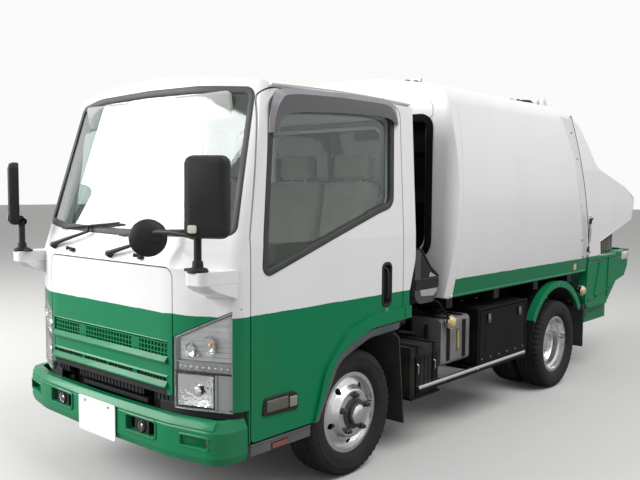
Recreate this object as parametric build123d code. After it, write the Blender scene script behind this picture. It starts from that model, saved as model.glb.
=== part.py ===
# Light cab-over garbage truck with a press packer body, drawn in millimetres at its real size.
# X points to the truck's left, Y to its rear and Z up. Places along the truck are measured
# from the front axle while drawing, and each piece is moved to the origin as it is written:
# the origin lies on the ground, midway along and across the whole truck.
import os
from math import cos, radians, sin, sqrt

from build123d import *

os.makedirs("parts", exist_ok=True)

# Overall sizes
front_axle_place = -1497
wheelbase = 2490
wheel_centre_height = 342
cab_half_width = 847
seam_gap = 7

# Wheels and tyres
tyre_radius = 342
tyre_width = 205
rim_radius = 203
rim_flange_radius = 217
bead_half = 67.5
front_wheel_middle = 697.5
rear_outer_middle = 737.5
twin_spacing = 235
nut_circle_radius = 101.6
wheel_nuts = 5
bearing_clearance = 0.05
spindle_radius = 30
rear_spindle_radius = 38

# Front axle and steering
kingpin_place = 560
kingpin_radius = 17
steering_arm_length = 170
tie_rod_radius = 13

# Chassis frame
rail_outer = 375
rail_width = 60
rail_wall = 8
rail_bottom = 500
rail_top = 680
frame_front = -940
frame_rear = 2950

# Cab
cab_wall = 50
cab_bottom = 545
cab_rear = 525
door_bottom = 390
door_front = -800
door_rear = 372
door_top = 2008
door_top_front = -664
glass_thickness = 5
floor_height = 600
seat_box_top = 950
tunnel_half_width = 385
tunnel_top = 905
cab_pivot_y = -900
cab_pivot_z = 600
pivot_tube_radius = 25
hatch_half_width = 533
hatch_top = 1178
hatch_bottom = 590
hatch_corner = 45

# Body
body_front = 826
body_floor = 882
body_wall = 25
body_front_opening_half_width = 690
# Half widths at the floor, the middle and the shoulders
outer_half_widths = (835, 904, 826)
tail_half_widths = (830, 854, 776)
beyond_half_widths = (842, 945, 846)
split_bottom_y = 3034
split_bottom_z = 989
split_top_y = 2726
split_top_z = 2189
tailgate_gap = 8
tail_hinge_y = 2690
tail_hinge_z = 2262
tail_hinge_radius = 16

# Hopper and packer
hopper_half_width = 842
hopper_inner = 770
blade_length = 440
blade_clearance = 15
blade_hinge_radius = 22
slider_travel = 516
ejector_clearance = 15


def block(x, y, z):
    """A box between the low and high value of each of x, y and z."""
    middle = Pos((x[0] + x[1]) / 2, (y[0] + y[1]) / 2, (z[0] + z[1]) / 2)
    return middle * Box(x[1] - x[0], y[1] - y[0], z[1] - z[0])


def outline(rows):
    """A closed flat outline from rows of (first place, second place, corner radius)."""
    points = [(first, second) for first, second, radius in rows]
    return make_face(FilletPolyline(*points, radius=[radius for *place, radius in rows], close=True))


def across(rows, low_x, high_x):
    """A side outline, rows of (y, z, radius), drawn out across the truck."""
    return extrude(Plane.YZ.offset(low_x) * outline(rows), amount=high_x - low_x)


def drawn_along(face, low_y, high_y):
    """A face in x and z, drawn out along the truck."""
    return extrude(Plane.XZ.offset(-high_y) * face, amount=high_y - low_y)


def along(rows, low_y, high_y):
    """A front outline, rows of (x, z, radius), drawn out along the truck."""
    return drawn_along(outline(rows), low_y, high_y)


def upward(rows, low_z, high_z):
    """A plan outline, rows of (x, y, radius), drawn out upwards."""
    return extrude(Plane.XY.offset(low_z) * outline(rows), amount=high_z - low_z)


def turned(rows, y, z):
    """An outline of (x, radius from the axis, corner radius), turned about a crosswise axis."""
    return Pos(0, y, z) * revolve(Plane.XZ * outline(rows), Axis.X, 360)


def rod(start, end, radius):
    """A round bar from one point to another."""
    start, end = Vector(*start), Vector(*end)
    return extrude(Plane(origin=start, z_dir=end - start) * Circle(radius), amount=(end - start).length)


def crossbar(low_x, high_x, y, z, radius):
    """A round bar that lies across the truck."""
    return rod((low_x, y, z), (high_x, y, z), radius)


def other_side(shape):
    return mirror(shape, about=Plane.YZ)


def both_sides(shape):
    """The shape and its mirror image on the truck's right side."""
    return Compound(children=[*shape.solids(), *other_side(shape).solids()])


def whole(*shapes):
    """Several separate solids as one node."""
    return Compound(children=[solid for shape in shapes for solid in shape.solids()])


def write(name, shape):
    export_step(Pos(0, front_axle_place, 0) * shape, f"parts/{name}.step")


# Wheels: each is a pressed steel disc wheel with its tyre, hub and brake drum.

def tyre(middle):
    half = tyre_width / 2
    rows = [
        (middle - bead_half, rim_radius + 0.3, 0),
        (middle - bead_half, rim_flange_radius + 0.5, 0),
        (middle - 78, rim_flange_radius + 0.5, 0),
        (middle - half, 268, 45),
        (middle - half + 8, tyre_radius - 14, 22),
        (middle - 60, tyre_radius, 30),
        (middle + 60, tyre_radius, 30),
        (middle + half - 8, tyre_radius - 14, 22),
        (middle + half, 268, 45),
        (middle + 78, rim_flange_radius + 0.5, 0),
        (middle + bead_half, rim_flange_radius + 0.5, 0),
        (middle + bead_half, rim_radius + 0.3, 0),
    ]
    return turned(rows, 0, 0)


def rim(middle, side):
    """The rim's rolled section, with its deep well towards the disc's side."""
    rows = [
        (middle - 76 * side, rim_flange_radius, 0),
        (middle - 70 * side, rim_flange_radius, 0),
        (middle - 68 * side, rim_radius, 0),
        (middle - 30 * side, rim_radius - 4, 0),
        (middle - 20 * side, 180, 0),
        (middle + 25 * side, 180, 0),
        (middle + 35 * side, rim_radius - 4, 0),
        (middle + 68 * side, rim_radius, 0),
        (middle + 70 * side, rim_flange_radius, 0),
        (middle + 76 * side, rim_flange_radius, 0),
        (middle + 76 * side, rim_radius - 6, 0),
        (middle + 40 * side, rim_radius - 11, 0),
        (middle + 30 * side, 173, 0),
        (middle - 25 * side, 173, 0),
        (middle - 35 * side, rim_radius - 11, 0),
        (middle - 76 * side, rim_radius - 6, 0),
    ]
    return turned(rows, 0, 0)


def ring_of_holes(circle_radius, hole_radius, low_x, high_x, count, first_angle=90):
    holes = []
    for number in range(count):
        angle = radians(first_angle + 360 / count * number)
        y, z = circle_radius * cos(angle), circle_radius * sin(angle)
        holes.append(crossbar(low_x, high_x, y, z, hole_radius))
    return whole(*holes)


def front_wheel():
    nave = front_wheel_middle + 94
    shape = rim(front_wheel_middle, -1)
    rows = [
        (nave, 62, 0),
        (nave, 118, 12),
        (nave - 34, 142, 20),
        (nave - 52, 191, 0),
        (nave - 45, 196, 0),
        (nave - 26, 150, 20),
        (nave + 8, 126, 12),
        (nave + 8, 62, 0),
    ]
    shape = shape + turned(rows, 0, 0)
    shape = shape - ring_of_holes(157, 17, nave - 80, nave + 20, wheel_nuts, 126)
    hub = turned([
        (632, spindle_radius + bearing_clearance, 0),
        (632, 60, 0),
        (640, 158, 6),
        (700, 158, 6),
        (700, 148, 0),
        (710, 105, 0),
        (nave, 105, 0),
        (nave + 2, 60, 0),
        (nave + 34, 52, 8),
        (nave + 34, 0, 0),
        (nave + 22, 0, 0),
        (nave + 22, spindle_radius + bearing_clearance, 0),
    ], 0, 0)
    nuts = ring_of_holes(nut_circle_radius, 14, nave + 7, nave + 30, wheel_nuts)
    for nut in nuts.solids():
        shape = shape + nut
    return shape + hub


def rear_wheels():
    """The two rims of a twin wheel, bolted back to back on one hub."""
    nave = rear_outer_middle - twin_spacing / 2
    inner_middle = rear_outer_middle - twin_spacing
    shape = rim(rear_outer_middle, 1) + rim(inner_middle, -1)
    dish = 46
    for side in (1, -1):
        rows = [
            (nave, 62, 0),
            (nave, 122, 10),
            (nave + side * dish, 150, 16),
            (nave + side * (dish + 52), 177, 0),
            (nave + side * (dish + 60), 171, 0),
            (nave + side * (dish + 8), 142, 16),
            (nave + side * 8, 114, 10),
            (nave + side * 8, 62, 0),
        ]
        shape = shape + turned(rows, 0, 0)
    shape = shape - ring_of_holes(146, 14, nave - 90, nave + 90, wheel_nuts, 126)
    hub_end = rear_outer_middle + 22
    hub = turned([
        (inner_middle - 50, rear_spindle_radius + bearing_clearance, 0),
        (inner_middle - 50, 165, 6),
        (inner_middle + 60, 165, 6),
        (inner_middle + 60, 108, 0),
        (nave, 108, 0),
        (nave + 9, 80, 0),
        (hub_end - 20, 74, 6),
        (hub_end - 20, 92, 0),
        (hub_end - 8, 92, 4),
        (hub_end - 4, 50, 6),
        (hub_end, 0, 0),
        (hub_end - 14, 0, 0),
        (hub_end - 14, rear_spindle_radius + bearing_clearance, 0),
    ], 0, 0)
    nuts = ring_of_holes(nut_circle_radius, 13, nave + 7, nave + 32, wheel_nuts)
    for nut in nuts.solids():
        shape = shape + nut
    return shape + hub


front_place = Pos(0, 0, wheel_centre_height)
rear_place = Pos(0, wheelbase, wheel_centre_height)
left_tyre = front_place * tyre(front_wheel_middle)
left_wheel = front_place * front_wheel()
rear_tyres = rear_place * whole(tyre(rear_outer_middle), tyre(rear_outer_middle - twin_spacing))
rear_wheel = rear_place * rear_wheels()
write("front_left_tyre", left_tyre)
write("front_right_tyre", other_side(left_tyre))
write("front_left_wheel", left_wheel)
write("front_right_wheel", other_side(left_wheel))
write("rear_left_tyres", rear_tyres)
write("rear_right_tyres", other_side(rear_tyres))
write("rear_left_wheels", rear_wheel)
write("rear_right_wheels", other_side(rear_wheel))


# Front axle: an I-beam with a kingpin at each end, the knuckles that turn on them, and the tie rod.

beam_height = 300
beam = across([(-35, beam_height - 35, 6), (35, beam_height - 35, 6), (35, beam_height + 35, 6),
               (-35, beam_height + 35, 6)], -500, 500)
for low, high in ((14, 40), (-40, -14)):
    beam = beam - block((-490, 490), (low, high), (beam_height - 24, beam_height + 24))
beam_eye = rod((kingpin_place, 0, beam_height - 35), (kingpin_place, 0, beam_height + 75), 38)
beam_end = block((495, kingpin_place), (-30, 30), (beam_height - 35, beam_height + 35))
kingpin_bore = rod((kingpin_place, 0, 0), (kingpin_place, 0, 900), kingpin_radius + bearing_clearance)
front_axle = beam + beam_eye + beam_end + other_side(beam_eye + beam_end)
front_axle = front_axle - kingpin_bore - other_side(kingpin_bore)
write("front_axle", front_axle)

kingpin_low = beam_height - 85
kingpin_high = beam_height + 125
fork_gap = 2
arm_low = kingpin_low + 4
arm_high = arm_low + 24
knuckle = rod((kingpin_place, 0, kingpin_low), (kingpin_place, 0, kingpin_high), kingpin_radius)
knuckle = knuckle + rod((kingpin_place, 0, kingpin_low), (kingpin_place, 0, beam_height - 35 - fork_gap), 38)
knuckle = knuckle + rod((kingpin_place, 0, beam_height + 75 + fork_gap), (kingpin_place, 0, kingpin_high), 38)
knuckle = knuckle + block((kingpin_place + 43, 620), (-45, 45), (kingpin_low, kingpin_high))
for low, high in ((kingpin_low, beam_height - 35 - fork_gap), (beam_height + 75 + fork_gap, kingpin_high)):
    knuckle = knuckle + block((kingpin_place, 610), (-36, 36), (low, high))
knuckle = knuckle + crossbar(615, front_wheel_middle + 94 + 20, 0, wheel_centre_height, spindle_radius)
knuckle = knuckle + crossbar(617, 625, 0, wheel_centre_height, 150)
arm_end_x = kingpin_place - 32
knuckle = knuckle + upward([
    (kingpin_place - 26, 20, 0), (kingpin_place + 26, 20, 0),
    (arm_end_x + 24, steering_arm_length + 22, 16), (arm_end_x - 24, steering_arm_length + 22, 16),
], arm_low, arm_high)
write("left_knuckle", knuckle)
write("right_knuckle", other_side(knuckle))

tie_rod_height = arm_low - 22
tie_rod = crossbar(-arm_end_x, arm_end_x, steering_arm_length, tie_rod_height, tie_rod_radius)
for side in (1, -1):
    tie_rod = tie_rod + rod((side * arm_end_x, steering_arm_length, tie_rod_height - 18),
                            (side * arm_end_x, steering_arm_length, arm_low - 1), 20)
write("tie_rod", tie_rod)

# Rear axle: a banjo housing with its spring seats, carried on leaf springs.

rear_axle = crossbar(-430, 430, wheelbase, wheel_centre_height, 55)
rear_axle = rear_axle + crossbar(-705, 705, wheelbase, wheel_centre_height, rear_spindle_radius)
rear_axle = rear_axle + crossbar(-442, 442, wheelbase, wheel_centre_height, 48)
banjo = turned([(-110, 0, 0), (-110, 90, 30), (-70, 150, 40), (70, 150, 40), (110, 90, 30), (110, 0, 0)],
               wheelbase, wheel_centre_height)
pinion_end = (0, wheelbase - 255, wheel_centre_height + 40)
pinion = rod((0, wheelbase - 120, wheel_centre_height + 20), pinion_end, 60)
rear_axle = rear_axle + banjo + pinion
write("rear_axle", rear_axle)


def leaf_pack(middle_y, seat_z, eye_z, half_length, leaves, leaf):
    """A pack of leaves, each one shorter than the leaf above it, that lies along the truck."""
    pack = None
    sag = eye_z - seat_z
    for number in range(leaves):
        reach = half_length * (1 - 0.17 * number)
        low = seat_z - number * leaf
        lift = sag * (reach / half_length) ** 2
        bow = Plane.YZ * make_face([
            ThreePointArc((-reach, low + lift), (0, low), (reach, low + lift)),
            Line((reach, low + lift), (reach, low + lift + leaf)),
            ThreePointArc((reach, low + lift + leaf), (0, low + leaf), (-reach, low + lift + leaf)),
            Line((-reach, low + lift + leaf), (-reach, low + lift)),
        ])
        piece = extrude(bow, amount=60)
        pack = piece if pack is None else pack + piece
    pack = pack + crossbar(0, 60, -half_length, eye_z + 14, 26) + crossbar(0, 60, half_length, eye_z + 14, 26)
    return Pos(0, middle_y, 0) * pack


front_spring = Pos(318, 0, 0) * leaf_pack(0, beam_height + 35 + 26, 455, 520, 3, 9)
rear_spring = Pos(335, 0, 0) * leaf_pack(wheelbase, wheel_centre_height + 104, 455, 560, 5, 11)
clamp_low = wheel_centre_height + 40
spring_clamp = Pos(335, wheelbase, 0) * block((-6, 66), (-70, 70), (clamp_low, clamp_low + 20))
rear_spring = rear_spring + spring_clamp - crossbar(0, 700, wheelbase, wheel_centre_height, 55.3)
write("leaf_springs", whole(both_sides(front_spring), both_sides(rear_spring)))


# Chassis frame: two channel rails joined by cross members, with the cab's pivot tube at the front.

rail_inner = rail_outer - rail_width
rail = block((rail_inner, rail_outer), (frame_front, frame_rear), (rail_bottom, rail_top))
rail = rail - block((rail_inner - 1, rail_outer - rail_wall), (frame_front - 1, frame_rear + 1),
                    (rail_bottom + rail_wall, rail_top - rail_wall))
frame = rail + other_side(rail)
cross_members = [(-880, 60), (1090, 70), (1600, 70), (2120, 80), (2820, 80)]
for place, depth in cross_members:
    frame = frame + block((-rail_outer + rail_wall / 2, rail_outer - rail_wall / 2),
                          (place - depth / 2, place + depth / 2), (rail_bottom + 90, rail_top - 4))
frame = frame + crossbar(-470, 470, cab_pivot_y, cab_pivot_z, pivot_tube_radius)
hanger_rows = [(-520, 1), (520, 1), (wheelbase - 560, 0), (wheelbase + 560, 0)]
for place, is_front in hanger_rows:
    inner = 318 if is_front else 335
    top_of_eye = 455 + 14
    reach = (place - 26, place + 26)
    hanger = block((inner - 10, inner - 1), reach, (top_of_eye - 26, rail_bottom + 6))
    hanger = hanger + block((inner + 61, inner + 70), reach, (top_of_eye - 26, rail_bottom + 6))
    hanger = hanger + block((inner - 10, inner + 70), reach, (rail_bottom - 2, rail_bottom + 6))
    frame = frame + hanger + other_side(hanger)
arm_rear = frame_front + 60
bumper_arm = block((300, rail_outer), (-1018, arm_rear), (430, 470))
bumper_arm = bumper_arm + block((300, rail_outer), (frame_front + 5, arm_rear), (430, rail_bottom + 60))
frame = frame + bumper_arm + other_side(bumper_arm)
rear_arm = block((300, rail_outer), (frame_rear - 90, 3109.7), (rail_bottom - 2, rail_bottom + 36))
frame = frame + rear_arm + other_side(rear_arm)
write("chassis_frame", frame)

# Engine and gearbox in one plain block, with the propeller shaft behind them.

drivetrain = block((-270, 250), (-330, 440), (430, 860))
gearbox_rows = [(430, 450, 20), (430, 780, 20), (620, 680, 30), (1020, 620, 20), (1020, 480, 20)]
drivetrain = drivetrain + across(gearbox_rows, -150, 150)
shaft_front = (0, 1010, 550)
drivetrain = drivetrain + rod(shaft_front, (0, wheelbase - 262, wheel_centre_height + 41), 38)
write("engine", drivetrain)

radiator = block((-300, 300), (-720, -640), (440, 860))
radiator = radiator + block((-330, 330), (-735, -625), (830, 885))
radiator = radiator + block((-rail_inner + 2, rail_inner - 2), (-735, -625), (430, 500))
write("radiator", radiator)

exhaust = rod((200, 1120, 430), (200, 1800, 430), 92)
exhaust = exhaust + rod((200, 441, 430), (200, 1130, 430), 28)
exhaust = exhaust + rod((200, 1790, 430), (200, 1960, 430), 28)
exhaust = exhaust - rod((200, 1900, 430), (200, 1961, 430), 24)
exhaust = exhaust + block((190, 210), (1440, 1460), (515, 560)) + block((190, 330), (1440, 1460), (552, 566))
write("exhaust", exhaust)


# Side equipment hung from the rails.

def hung_box(x_low, x_high, y_low, y_high, z_low, z_high, corner):
    """A box with rounded lower corners, with a bracket that reaches in to the rail."""
    rows = [
        (x_low, z_low, corner), (x_high, z_low, corner), (x_high, z_high, corner), (x_low, z_high, corner),
    ]
    shape = along(rows, y_low, y_high)
    for place in (y_low + 60, y_high - 60):
        bracket = block((rail_outer, x_low + corner), (place - 20, place + 20), (z_high - 90, z_high - 50))
        shape = shape + bracket
    return shape


write("battery_box", hung_box(450, 832, 480, 778, 321, 617, 6))
write("oil_tank", hung_box(450, 800, 856, 1200, 440, 735, 30))
write("fuel_tank", other_side(hung_box(450, 815, 620, 1290, 370, 720, 70)))

toolbox_front = 1238
toolbox_rear = 1935
toolbox_low = 366
toolbox_high = 763
toolbox_side = 846
toolbox_wall = 12
toolbox = hung_box(480, toolbox_side, toolbox_front, toolbox_rear, toolbox_low, toolbox_high, 4)


def inside_toolbox(x, gap):
    """A box that fills the toolbox between two places across, less a gap all round."""
    edge = toolbox_wall + gap
    return block(x, (toolbox_front + edge, toolbox_rear - edge), (toolbox_low + edge, toolbox_high - edge))


toolbox = toolbox - inside_toolbox((480 + toolbox_wall, toolbox_side + 1), 0)
lid_gap = 6
lid_thickness = 16
lid = inside_toolbox((toolbox_side - lid_thickness, toolbox_side), lid_gap)
for place in (toolbox_front + 130, toolbox_rear - 130):
    latch_height = (toolbox_high - 85, toolbox_high - 45)
    lid = lid + block((toolbox_side - 1, toolbox_side + 8), (place - 22, place + 22), latch_height)
lid_hinge_x, lid_hinge_z = 844, 386
lid_hinge = drawn_along(Pos(lid_hinge_x, lid_hinge_z) * Circle(5), toolbox_front + 40, toolbox_rear - 40)
lid = lid + lid_hinge
write("toolbox", toolbox)
write("toolbox_lid", lid)



def side_guard(low_y, high_y, post_places):
    """A side rail on bent posts that hang from the frame."""
    guard = along([(836, 352, 6), (850, 352, 6), (850, 388, 6), (836, 388, 6)], low_y, high_y)
    for place in post_places:
        guard = guard + block((rail_outer, 840), (place - 15, place + 15), (360, 380))
        guard = guard + block((rail_outer, rail_outer + 20), (place - 15, place + 15), (360, rail_top - 100))
    return guard


right_guard = other_side(side_guard(1310, 1960, (1380, 1830)))
write("side_guards", whole(side_guard(545, 1232, (817, 1219)), right_guard))

# Air intake behind the cab's left rear corner, on a post that stands on the rail.

intake_rows = [
    (545, 900, 60), (600, 868, 40), (745, 868, 40), (790, 930, 20), (790, 1010, 20), (700, 1075, 60),
    (600, 1190, 20), (545, 1190, 20),
]
intake = across(intake_rows, 560, 812)
intake = intake + block((330, 372), (640, 700), (rail_top, 930)) + block((330, 570), (640, 700), (900, 930))
write("air_intake", intake)

# Front bumper: a pressed blade that wraps round both corners, with fog lamp openings.
# Its face leans back above and below the middle band.

bumper_low = 320
bumper_high = 510
band_low = 352
band_high = 466
bumper_lean = 22
bumper_thickness = 34


def bumper_plan(inset):
    return [
        (850 - inset, -825, 0), (850 - inset, -985 + inset, 110 - inset), (560, -1046 + inset, 600),
        (0, -1064 + inset, 3000), (-560, -1046 + inset, 600), (-850 + inset, -985 + inset, 110 - inset),
        (-850 + inset, -825, 0),
    ]




def bumper_slope(low, low_inset, high, high_inset):
    """A band of the bumper whose face leans between two heights."""
    sections = [(low, low_inset), (high, high_inset)]
    faces = [Plane.XY.offset(height) * outline(bumper_plan(inset)) for height, inset in sections]
    return loft(faces, ruled=True)


bumper = upward(bumper_plan(0), band_low, band_high)
bumper = bumper + bumper_slope(bumper_low, bumper_lean / 2, band_low, 0)
bumper = bumper + bumper_slope(band_high, 0, bumper_high, bumper_lean)
# Columns: how far the hollow lies inside the blade, its top
for inset, top in ((bumper_thickness, bumper_high - 14), (bumper_thickness + 20, bumper_high + 1)):
    hollow = [(x, y if y < -900 else -700, radius) for x, y, radius in bumper_plan(inset)]
    bumper = bumper - upward(hollow, bumper_low - 1, top)
for side in (1, -1):
    bumper = bumper - block((side * 356 - 108, side * 356 + 108), (-1100, -990), (388, 462))
    bumper = bumper - Pos(side * 708, -1010, 416) * Rot(0, 0, side * 26) * Box(160, 50, 46)
write("front_bumper", bumper)

plate_low = 304
front_plate = block((-165, 165), (-1067, -1065), (plate_low, plate_low + 180))
write("number_plate", front_plate)


# Cab: one outer form, from a few plan sections and the roof's outline, cut into its panels.

def cab_plan(half_width, corner_y, shoulder_x, front_y, inset):
    side = half_width - inset
    shoulder = shoulder_x - inset * 0.3
    corner = corner_y + inset * 0.6
    return [
        (side, cab_rear - inset, 40), (side, corner, 80), (shoulder, front_y + inset, 500),
        (-shoulder, front_y + inset, 500), (-side, corner, 80), (-side, cab_rear - inset, 40),
    ]


# Columns: height, half width, y where the side turns in, half width of the flat front, y of the front
cab_sections = [
    (300, 847, -880, 560, -1008),
    (1180, 847, -880, 560, -1008),
    (1290, 846, -850, 540, -950),
    (2006, 808, -650, 460, -745),
    (2170, 799, -604, 442, -698),
]


def cab_form(inset):
    """The cab's outer form, or with an inset the form that lies that much inside it."""
    sections = [Plane.XY.offset(height) * outline(cab_plan(*sizes, inset)) for height, *sizes in cab_sections]
    form = loft(sections, ruled=True)
    # The roof's two outlines stand a little proud of the walls below, so that only the roof takes them.
    proud = 5 - inset
    front = along([
        (847 + proud, 250, 0), (847 + proud, 1300, 1500), (805 + proud, 2046 - inset, 75),
        (0, 2128 - inset, 3500), (-805 - proud, 2046 - inset, 75), (-847 - proud, 1300, 1500),
        (-847 - proud, 250, 0),
    ], -1300, 800)
    side = across([
        (-1300, 250, 0), (-1300, 1290, 0), (-950 - proud, 1290, 0), (-710 - proud, 2130 - inset, 90),
        (cab_rear - 20 + proud, 2130 - inset, 130), (cab_rear + proud, 1250, 0),
        (440 - inset, 960, 0), (440 - inset, 250, 0),
    ], -1000, 1000)
    return front & side & form


# The depths below the outer form that the cab's panels, glass and lamps lie between
bar_depth, post_depth, screen_depth, glass_depth, panel_depth, lamp_depth = 2, 12, 9, 20, 25, 36
door_layer_depth = cab_wall + seam_gap
cab_forms = {
    depth: cab_form(depth)
    for depth in (0, bar_depth, screen_depth, post_depth, screen_depth + glass_thickness, glass_depth,
                  panel_depth, lamp_depth, cab_wall, door_layer_depth)
}
outer_form = cab_forms[0]
inner_form = cab_forms[cab_wall]


def skin(outer_depth, inner_depth):
    """The layer of the cab between two depths below its outer form."""
    return cab_forms[outer_depth] - cab_forms[inner_depth]


arch_rows = [
    (-383, 200, 0), (-383, 400, 60), (-205, 705, 220), (70, 800, 320), (416, 816, 0), (700, 816, 0),
    (700, 200, 0),
]
arch_cut = across(arch_rows, -1000, 1000)
cab_under = across([
    (-1200, 200, 0), (-1200, cab_bottom, 0), (door_front - 14, cab_bottom, 0),
    (door_front - 14, door_bottom, 0), (-383, door_bottom, 0), (-383, 200, 0),
], -1000, 1000)

window_rows = [
    (-716, 1150, 30), (-706, 1320, 400), (-632, 1968, 45), (300, 1958, 60), (270, 1462, 60), (150, 1432, 200),
]
# The doors take only the side wall: they stop short of the roof and the screen pillars.
door_inner_x = 748
door_outline = across([
    (door_front, door_bottom, 20), (door_front, 1330, 120), (door_top_front, door_top, 60),
    (door_rear, door_top, 70), (door_rear, 500, 0), (-300, door_bottom, 0),
], door_inner_x, 1000)
opening_outline = across([
    (door_front - seam_gap, door_bottom - 60, 0), (door_front - seam_gap, 1330, 120),
    (door_top_front - seam_gap, door_top + seam_gap, 66), (door_rear + seam_gap, door_top + seam_gap, 76),
    (door_rear + seam_gap, 500, 0), (-300, door_bottom - 60, 0),
], door_inner_x - seam_gap, 1000)
window_cut = across(window_rows, 700, 1000)

flare = across([
    (-383, 392, 0), (-300, 640, 200), (-120, 815, 260), (100, 872, 300), (445, 884, 0), (445, 816, 0),
    (70, 800, 320), (-205, 705, 220), (-375, 392, 0),
], 815, 864)

side_panels = (outer_form - inner_form - arch_cut) - cab_under
side_panels = side_panels & across([(-1400, 0, 0), (-1400, 2300, 0), (445, 2300, 0), (445, 0, 0)], 0, 1000)
side_panels = side_panels - window_cut
handle_pocket_rows = [(186, 909, 24), (257, 909, 24), (257, 1136, 24), (186, 1136, 24)]
left_door = (side_panels + (flare & block((0, 1000), (-500, 441), (380, 900)))) & door_outline
left_door = left_door - across(handle_pocket_rows, 822, 900)
write("left_door", left_door)
write("right_door", other_side(left_door))

glass_band = skin(glass_depth, panel_depth)
door_glass = glass_band & across([(y, z, radius) for y, z, radius in window_rows], 700, 1000)
write("left_door_glass", door_glass)
write("right_door_glass", other_side(door_glass))

# The shell: walls, roof, raised floor over the wheels, and a tunnel over the engine.
shell = outer_form - arch_cut - cab_under
cavity_floor = [
    (-1200, floor_height, 0), (-430, floor_height, 0), (-330, seat_box_top, 0), (430, seat_box_top, 0),
    (700, seat_box_top, 0), (700, 2300, 0), (-1200, 2300, 0),
]
shell = shell - (inner_form & across(cavity_floor, -1000, 1000))
shell = shell - block((-tunnel_half_width, tunnel_half_width), (-1200, 700), (200, tunnel_top))
under_skin = 30
wheel_house = across([
    (-395, 200, 0), (-395, floor_height - 40, 0), (-300, seat_box_top - under_skin - 60, 0),
    (440 - cab_wall, seat_box_top - under_skin - 60, 0), (440 - cab_wall, 200, 0),
], tunnel_half_width + 20, cab_half_width - cab_wall)
shell = shell - wheel_house - other_side(wheel_house)
foot_well = block((tunnel_half_width - 1, door_inner_x + 60), (-1200, -394), (200, floor_height - 40))
shell = shell - foot_well - other_side(foot_well)
shell = shell + (block((-780, 780), (-900, -400), (floor_height - 40, floor_height)) & outer_form)
shell = shell - block((-tunnel_half_width, tunnel_half_width), (-1200, 700), (200, tunnel_top))
tunnel_outer = tunnel_half_width + 20
tunnel_roof = block((-tunnel_outer, tunnel_outer), (-880, -300), (tunnel_top, tunnel_top + 25))
tunnel_side = block((tunnel_half_width, tunnel_half_width + 20), (-880, -300), (cab_bottom, tunnel_top + 25))
shell = shell + tunnel_roof + tunnel_side + other_side(tunnel_side)
door_layer = opening_outline & (outer_form - cab_forms[door_layer_depth])
shell = shell - door_layer - other_side(door_layer)

windscreen_rows = [
    (-793, 1345, 30), (0, 1315, 4000), (793, 1345, 30), (727, 2006, 50), (0, 2040, 4000), (-727, 2006, 50),
]
windscreen_cut = along(windscreen_rows, -1100, -600)
shell = shell - windscreen_cut
rear_window_rows = [(-620, 1480, 60), (620, 1480, 60), (600, 1900, 60), (-600, 1900, 60)]
shell = shell - along(rear_window_rows, 400, 700)
opening_half_width, opening_top = hatch_half_width + seam_gap, hatch_top + seam_gap
hatch_opening = [
    (-opening_half_width, 400, 0), (opening_half_width, 400, 0),
    (opening_half_width, opening_top, hatch_corner + seam_gap),
    (-opening_half_width, opening_top, hatch_corner + seam_gap),
]
shell = shell - along(hatch_opening, -1100, -900)
lamp_rows = [
    (540, cab_bottom + 8, 12), (900, cab_bottom + 8, 0), (900, 1040, 0), (838, 1010, 30), (540, 868, 12),
]
lamp_zone = along(lamp_rows, -1100, -850)
headlamp = skin(0, panel_depth) & lamp_zone
lamp_recess = skin(0, lamp_depth) & lamp_zone
shell = shell - lamp_recess - other_side(lamp_recess)
rear_flare = (flare & block((0, 1000), (door_rear + seam_gap, 441), (380, 900)))
shell = shell + rear_flare + other_side(rear_flare)
sleeve = crossbar(tunnel_half_width + 4, tunnel_half_width + 44, cab_pivot_y, cab_pivot_z, 46)
sleeve = sleeve + block((tunnel_half_width + 4, tunnel_half_width + 44), (cab_pivot_y - 30, cab_pivot_y + 60),
                        (cab_pivot_z - 30, cab_pivot_z + 30))
sleeve_bore = crossbar(-600, 600, cab_pivot_y, cab_pivot_z, pivot_tube_radius + 0.3)
shell = shell + sleeve + other_side(sleeve)
shell = shell - sleeve_bore
mirror_shelf = upward([(690, -935, 0), (843, -872, 0), (843, -1075, 40), (735, -1090, 30)], 1130, 1186)
mirror_shelf = mirror_shelf - inner_form
shell = shell + mirror_shelf + other_side(mirror_shelf)
write("cab_shell", shell)
write("headlamps", both_sides(headlamp))

windscreen = skin(screen_depth, screen_depth + glass_thickness) & along(windscreen_rows, -1100, -600)
rear_glass = glass_band & along(rear_window_rows, 400, 700)
write("cab_windows", whole(windscreen, rear_glass))

# Front hatch and grille: the panel lifts from a hinge below the windscreen.
hatch_rows = [
    (-hatch_half_width, hatch_bottom, 12), (hatch_half_width, hatch_bottom, 12),
    (hatch_half_width, hatch_top, hatch_corner), (-hatch_half_width, hatch_top, hatch_corner),
]
hatch = skin(0, panel_depth) & along(hatch_rows, -1100, -900)
grille_low, grille_high = hatch_bottom + 40, 842
grille_rows = [(-508, grille_low, 10), (508, grille_low, 10), (508, grille_high, 10), (-508, grille_high, 10)]
hatch = hatch - along(grille_rows, -1100, -900)


def across_grille(half_width, low, high, outer_depth, inner_depth):
    """A band of the cab's front between two heights and two depths."""
    rows = [(-half_width, low, 0), (half_width, low, 0), (half_width, high, 0), (-half_width, high, 0)]
    return skin(outer_depth, inner_depth) & along(rows, -1100, -900)


# Above the main bar lies a ribbed recess, below it a row of slots between dividers.
grille_half_width = 505
bar_low, bar_high = 676, 757
ribs = []
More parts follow.
